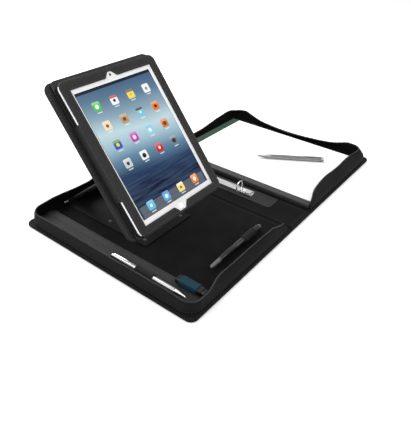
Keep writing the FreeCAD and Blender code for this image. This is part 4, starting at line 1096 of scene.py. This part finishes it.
satin = metal("satin_aluminium", (0.55, 0.56, 0.57), (0.72, 0.73, 0.74), 0.3, scratch=2500)
sleeve = Finish("case_in_black_sleeve", Specular_IOR_Level=0.3)
settings = {"Vector": sleeve.place(), "Location": glass_middle, "Rotation": (tilt, 0, 0)}
level_place = sleeve.node("Mapping", {"vector_type": "TEXTURE"}, settings)
sideways = sleeve.axis(level_place, 0)
outward = sleeve.axis(level_place, 2)
lip = (outward > -0.0016) * (abs(sideways) > 0.0905)
grain = sleeve.noise(sleeve.place(), 1400)
sleeve.show(
    Base_Color=sleeve.mix(lip, sleeve.mix(grain, (0.004,) * 3, (0.012,) * 3), (0.8, 0.81, 0.82)),
    Roughness=0.35 + grain * 0.15,
    Metallic=lip * 0.4,
)
refined("tablet_case", "holder", sleeve, "tablet_shell", 0.0009)


def tint(red, green, blue):
    """A colour from three levels out of 255, as light."""
    return tuple((level / 255) ** 2.2 for level in (red, green, blue))


# The display in millimetres: s runs from its middle line, t from its lower edge.
HALF_WIDTH, HEIGHT = 73.9, 197.1
COLUMN, ROW, FIRST_COLUMN, FIRST_ROW = 33.5, 30.0, -66.4, 66.5
SHELF_TOP, SHELF_RAISE = 40.0, 38.6
TILE_HALF, TILE_CORNER, BAND_FROM = 6.9, 2.3, 3.2
picture = Finish("lit_display", Specular_IOR_Level=0.05, Emission_Strength=1.0)
bottom = upright @ Vector((0, -HEIGHT / 2000 + 0.00005, 0))
settings = {"Vector": picture.place(), "Location": bottom, "Rotation": (tilt, 0, 0)}
flat = picture.node("Mapping", {"vector_type": "TEXTURE"}, settings)
flat = picture.node("VectorMath", {"operation": "SCALE"}, {0: flat, "Scale": 1000.0})
s = picture.axis(flat, 0)
t = picture.axis(flat, 1)

ripple = picture.node("Mapping", inputs={"Vector": flat, "Scale": (0.02, 0.25, 0.0)})
ripple = picture.noise(ripple, 1.0, 2.0)
haze = picture.noise(picture.node("Mapping", inputs={"Vector": flat, "Scale": (0.006, 0.012, 0.0)}), 1.0, 2.0)
height = t / HEIGHT + (haze - 0.5) * 0.12 + s * 0.0004
SKY = (
    (0.0, (8, 13, 34)), (0.17, (13, 22, 52)), (0.3, (34, 56, 88)), (0.42, (96, 132, 158)), (0.53, (160, 192, 206)),
    (0.63, (192, 218, 226)), (0.76, (138, 166, 184)), (0.88, (92, 122, 148)), (1.0, (68, 96, 128)),
)
sky = picture.node("ValToRGB", {"stops": [(level, tint(*colour)) for level, colour in SKY]}, {"Fac": height})
water = (0.45 - t / HEIGHT).reckon("MAXIMUM", 0.0) * (ripple - 0.35).reckon("MAXIMUM", 0.0) * 3.0
sky = picture.mix(water.reckon("MINIMUM", 0.22), sky, tint(96, 130, 170))

raised = t + (t < SHELF_TOP) * SHELF_RAISE
column = ((s - FIRST_COLUMN) / COLUMN).reckon("FLOOR")
row = ((raised - FIRST_ROW) / ROW).reckon("FLOOR")
across_tile = s - FIRST_COLUMN - column * COLUMN - COLUMN / 2
up_tile = raised - FIRST_ROW - row * ROW - ROW / 2
COLUMNS, TILE_COUNT = 4.0, 20.0
tile_number = ((row + 1.0) * COLUMNS + column + 0.5) / TILE_COUNT


def inside(first, second, half_first, half_second, corner):
    """One within a rectangle with round corners, and nothing outside it."""
    over_first = (abs(first) - (half_first - corner)).reckon("MAXIMUM", 0.0)
    over_second = (abs(second) - (half_second - corner)).reckon("MAXIMUM", 0.0)
    return (over_first * over_first + over_second * over_second) < corner * corner


TILES = (
    # tile colour, mark colour, mark radius, upper band colour
    ((96, 190, 235), (235, 245, 250), 2.6, (96, 190, 235)),
    ((90, 175, 235), (250, 250, 250), 3.2, (60, 140, 220)),
    ((246, 226, 130), (120, 110, 60), 2.2, (250, 240, 190)),
    ((245, 130, 40), (252, 248, 240), 3.4, (250, 160, 60)),
    ((205, 208, 212), (60, 62, 66), 2.8, (215, 218, 222)),
    ((245, 245, 245), (35, 35, 38), 3.8, (245, 245, 245)),
    ((205, 35, 40), (245, 245, 245), 2.4, (220, 60, 60)),
    ((120, 124, 130), (50, 52, 58), 4.0, (150, 154, 160)),
    ((60, 90, 170), (235, 225, 90), 2.8, (110, 160, 60)),
    ((190, 60, 170), (245, 220, 245), 3.4, (205, 80, 185)),
    ((150, 210, 240), (250, 250, 250), 3.0, (130, 200, 240)),
    ((215, 120, 50), (110, 60, 30), 3.4, (235, 150, 80)),
    ((240, 225, 190), (165, 60, 40), 2.6, (240, 225, 190)),
    ((190, 150, 100), (110, 75, 45), 3.0, (205, 170, 120)),
    ((120, 200, 220), (235, 245, 248), 2.0, (16, 20, 24)),
    ((240, 120, 35), (60, 35, 25), 2.8, (245, 145, 60)),
    ((80, 195, 85), (250, 250, 250), 3.4, (110, 215, 110)),
    ((250, 250, 250), (40, 40, 44), 2.4, (205, 45, 40)),
    ((248, 222, 95), (200, 170, 70), 1.6, (120, 80, 40)),
    ((248, 248, 248), (150, 155, 160), 2.8, (248, 248, 248)),
)


def listed(values):
    """The value of each tile, by its place."""
    stops = [(number / len(values), value) for number, value in enumerate(values)]
    return picture.node("ValToRGB", {"stops": stops, "blend": "CONSTANT"}, {"Fac": tile_number})


tile_colour = listed([tint(*tile[0]) for tile in TILES])
mark_colour = listed([tint(*tile[1]) for tile in TILES])
band_colour = listed([tint(*tile[3]) for tile in TILES])
mark_size = listed([(tile[2] / 10,) * 3 for tile in TILES]) * 10.0
in_rows = (abs(s) < 66.0) * (t < 182.0) * (abs(t - 44.0) > 16.0)
tile = inside(across_tile, up_tile, TILE_HALF, TILE_HALF, TILE_CORNER) * in_rows
mark = (across_tile * across_tile + (up_tile + 0.6) * (up_tile + 0.6)) < mark_size * mark_size
face = picture.mix(up_tile > BAND_FROM, tile_colour, band_colour)
face = picture.mix(mark, face, mark_colour)
gleam = (up_tile / 7.0).reckon("MAXIMUM", 0.0) * 0.18
face = picture.mix(gleam, face, (1, 1, 1))
label = inside(across_tile, up_tile + 9.6, 4.6, 0.75, 0.6) * in_rows * 0.75
shelf = inside(s, t - 7.0, 71.0, 6.5 + 4.0, 0.8) * 0.45
screen = picture.mix(shelf, sky, tint(128, 132, 138))
screen = picture.mix(label, screen, (0.9, 0.92, 0.95))
screen = picture.mix(tile, screen, face)
screen = picture.mix((t > 193.2) * 0.93, screen, (0.005, 0.006, 0.008))
lit = inside(s, t - HEIGHT / 2, HALF_WIDTH, HEIGHT / 2, 0.1)
line = inside(s, t - HEIGHT / 2, HALF_WIDTH + 0.6, HEIGHT / 2 + 0.6, 0.2)
dust = picture.noise(picture.place(), 60)
edge = picture.mix(line, (0.66, 0.66, 0.67), (0.01, 0.01, 0.01))
picture.show(
    Base_Color=picture.mix(lit, edge, (0.004, 0.004, 0.005)),
    Emission_Color=picture.mix(lit, (0, 0, 0), screen),
    Roughness=0.3 + dust * 0.06,
)
refined("front_glass", "holder", picture, "tablet_glass", 0.0002)

low, high = level_box("home_button")
reach, thick = (high.x - low.x) / 2, high.z - low.z
stations = [(0, reach), (thick - 0.0003, reach), (thick, reach - 0.0003), (thick - 0.0001, reach * 0.8)]
stations += [(thick - 0.0004, reach * 0.4)]
button = turned(stations, (0, 0, 0), (0, 0, 1), 48)
button.data.transform(upright @ Matrix.Translation(((low.x + high.x) / 2, (low.y + high.y) / 2, low.z)))
white_plastic = plastic("white_plastic", (0.72, 0.72, 0.73), (0.82, 0.82, 0.83), 0.2, deep=0.00001)
fit(button, "home_button_dish", "home_button", white_plastic, "white_key", "home_button")
for node in ("power_button", "volume_rocker", "mute_switch"):
    refined(node, node, satin, "tablet_shell", 0.0003)

dark_glass = plastic("camera_glass", (0.003, 0.003, 0.004), (0.01, 0.01, 0.014), 0.05, deep=0.0)
refined("front_camera", "holder", dark_glass, "black_plastic", 0.0002)
foil = metal("battery_foil", (0.25, 0.26, 0.27), (0.42, 0.43, 0.44), 0.35, scratch=160)
for node in ("battery_left", "battery_right"):
    refined(node, "holder", foil, "battery_foil", 0.0006)
refined("display_panel", "holder", satin, "display", 0.0004)
board = Finish("circuit_board", Coat_Weight=0.3)
where = board.node("Mapping", {"vector_type": "TEXTURE"}, {"Vector": board.place(), "Rotation": (tilt, 0, 0)})
tracks = board.node("TexVoronoi", {"distance": "CHEBYCHEV"}, {"Vector": where, "Scale": 320.0})
board.show(
    Base_Color=board.mix(tracks > 0.35, (0.01, 0.07, 0.03), (0.35, 0.28, 0.12)),
    Roughness=0.35 + tracks * 0.3,
)
refined("logic_board", "holder", board, "circuit", 0.0003)
refined("dock_connector", "holder", steel, "steel", 0.0003)

# ------------------------------------------------------------------ ring mechanism
# A chromed rail on a dark backing strip carries two sprung rings and a pressed lever with an
# eye. Rivets hold the rail, and a ridge runs along its crown.

refined("ring_backing", "spine", black_leather, "black_leather", 0.0004)
refined("ring_rail", "spine", chrome, "chrome", 0.0003)
refined("ring_lever", "ring_lever", chrome, "chrome", 0.0003)
for node, body in (("ring_half_left", "ring_left"), ("ring_half_right", "ring_right")):
    refined(node, body, chrome, "chrome", 0.0001)
low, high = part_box("ring_rail")
rivet = turned([(-0.0006, 0.0023), (0, 0.0023), (0.0004, 0.0019), (0.0006, 0.0009)], (0, 0, 0), UP, 20)
places = [Matrix.Translation(((low.x + high.x) / 2, y, high.z - 0.0001)) for y in (low.y + 0.012, high.y - 0.007)]
fit(repeated(rivet, places), "rail_rivets", "spine", steel, "chrome")
low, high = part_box("ring_backing")
seam = ring_of(low, high, 0.003, high.z + SEAM_LIFT, margin=0.0025)
fit(sewn(seam), "backing_seam", "spine", thread, "black_leather")

# ------------------------------------------------------------------ notepad
# White leaves are glued at the head under green book cloth, on a grey card back. A padded grey
# leather band across the right half holds the card by its inner edge.

paper = Finish("white_paper")
where = paper.place()
fibre = paper.noise(where, 700, 4.0)
cloud = paper.noise(where, 40)
paper.show(
    Base_Color=paper.mix(fibre * 0.5 + cloud * 0.5, (0.7, 0.7, 0.71), (0.8, 0.8, 0.8)),
    Roughness=0.75 + fibre * 0.15,
    Normal=paper.relief(fibre, 0.00002),
)
low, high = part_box("pad_pages")
LEAVES = 22
thick = (high.z - low.z) / LEAVES
leaf = block((low.x + 0.0004, low.y + 0.0004, 0), (high.x - 0.0004, high.y, thick * 0.86), soft=0)
places = []
for number in range(LEAVES):
    drift = Vector((noise.noise((number * 0.7, 1.3, 0)), noise.noise((number * 0.9, 5.1, 0)), 0)) * 0.0007
    drift.y = -abs(drift.y)
    places.append(Matrix.Translation(Vector((0, 0, low.z + number * thick)) + drift))
stack = repeated(leaf, places)
fit(stack, "page_stack", "notepad", paper, "paper", "pad_pages")

card = plastic("grey_card", (0.2, 0.19, 0.18), (0.3, 0.29, 0.27), 0.8, 500)
refined("pad_backing", "notepad", card, "card", 0.0002)

green = woven("green_book_cloth", (0.02, 0.04, 0.027), (0.045, 0.078, 0.056), 0.0006)
low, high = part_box("pad_header")
fit(block(low, high, soft=0.0008), "header_cloth", "notepad", green, "green_cloth", "pad_header")
seam = ring_of(low, high, 0.001, high.z + SEAM_LIFT, margin=0.002)
fit(sewn(seam), "header_seam", "notepad", thread, "green_cloth")

pocket = merged("pad_pocket")
seam = sewn(inset_line(outlines(pocket, UP)[0], UP, 0.002))
fit(seam, "pocket_seam", "cover", grey_thread, "grey_leather")
bpy.data.objects.remove(pocket)
refined("pad_pocket", "cover", grey_leather, "grey_leather", 0.0009)

# ------------------------------------------------------------------ desk pen
# A slim chrome ball pen lies loose across the notepad. It is turned from tube, with a split
# ring at the middle and a sprung clip. Its chrome is a darker copy of the polished chrome, with
# its dark reflections painted into the colour.

low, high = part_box("desk_pen")
end = Vector((high.x, low.y, (low.z + high.z) / 2))
far = Vector((low.x, high.y, end.z))
way = (far - end).normalized()
radius = (high.z - low.z) / 2
slack = radius * 0.5
length = (far - end).length - slack * 2
middle = length / 2
stations = shares(radius, (
    (0, 0.5), (0.0006, 0.8), (0.003, 1), (0.008, 1), (0.0082, 0.9), (0.009, 0.9), (0.0092, 1), (middle - 0.002, 1),
    (middle - 0.0018, 0.92), (middle, 0.92), (middle + 0.0002, 1), (length - 0.05, 0.97), (length - 0.017, 0.88),
    (length - 0.0165, 0.8), (length - 0.003, 0.34), (length - 0.0028, 0.2), (length, 0.12),
))
barrel = turned(stations, end + way * slack, way, 40)
fit(barrel, "desk_pen_barrel", "desk_pen", shaded_pen_chrome, "chrome", "desk_pen")
pen_clip("desk_pen_clip", "desk_pen", way, 0.001, shaded_pen_chrome)

# ------------------------------------------------------------------ zip slider
# A die-cast slider parked on the back run of the zip, plated dark, with a stamped pull that
# hangs from its bridge.

refined("zip_slider", "zip_slider", nickel, "zip_metal", 0.0003)
refined("zip_pull", "zip_pull", nickel, "zip_metal", 0.0002)

size = {"cad": [list(cad_low), list(cad_high)], "visual": [list(end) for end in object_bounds()]}
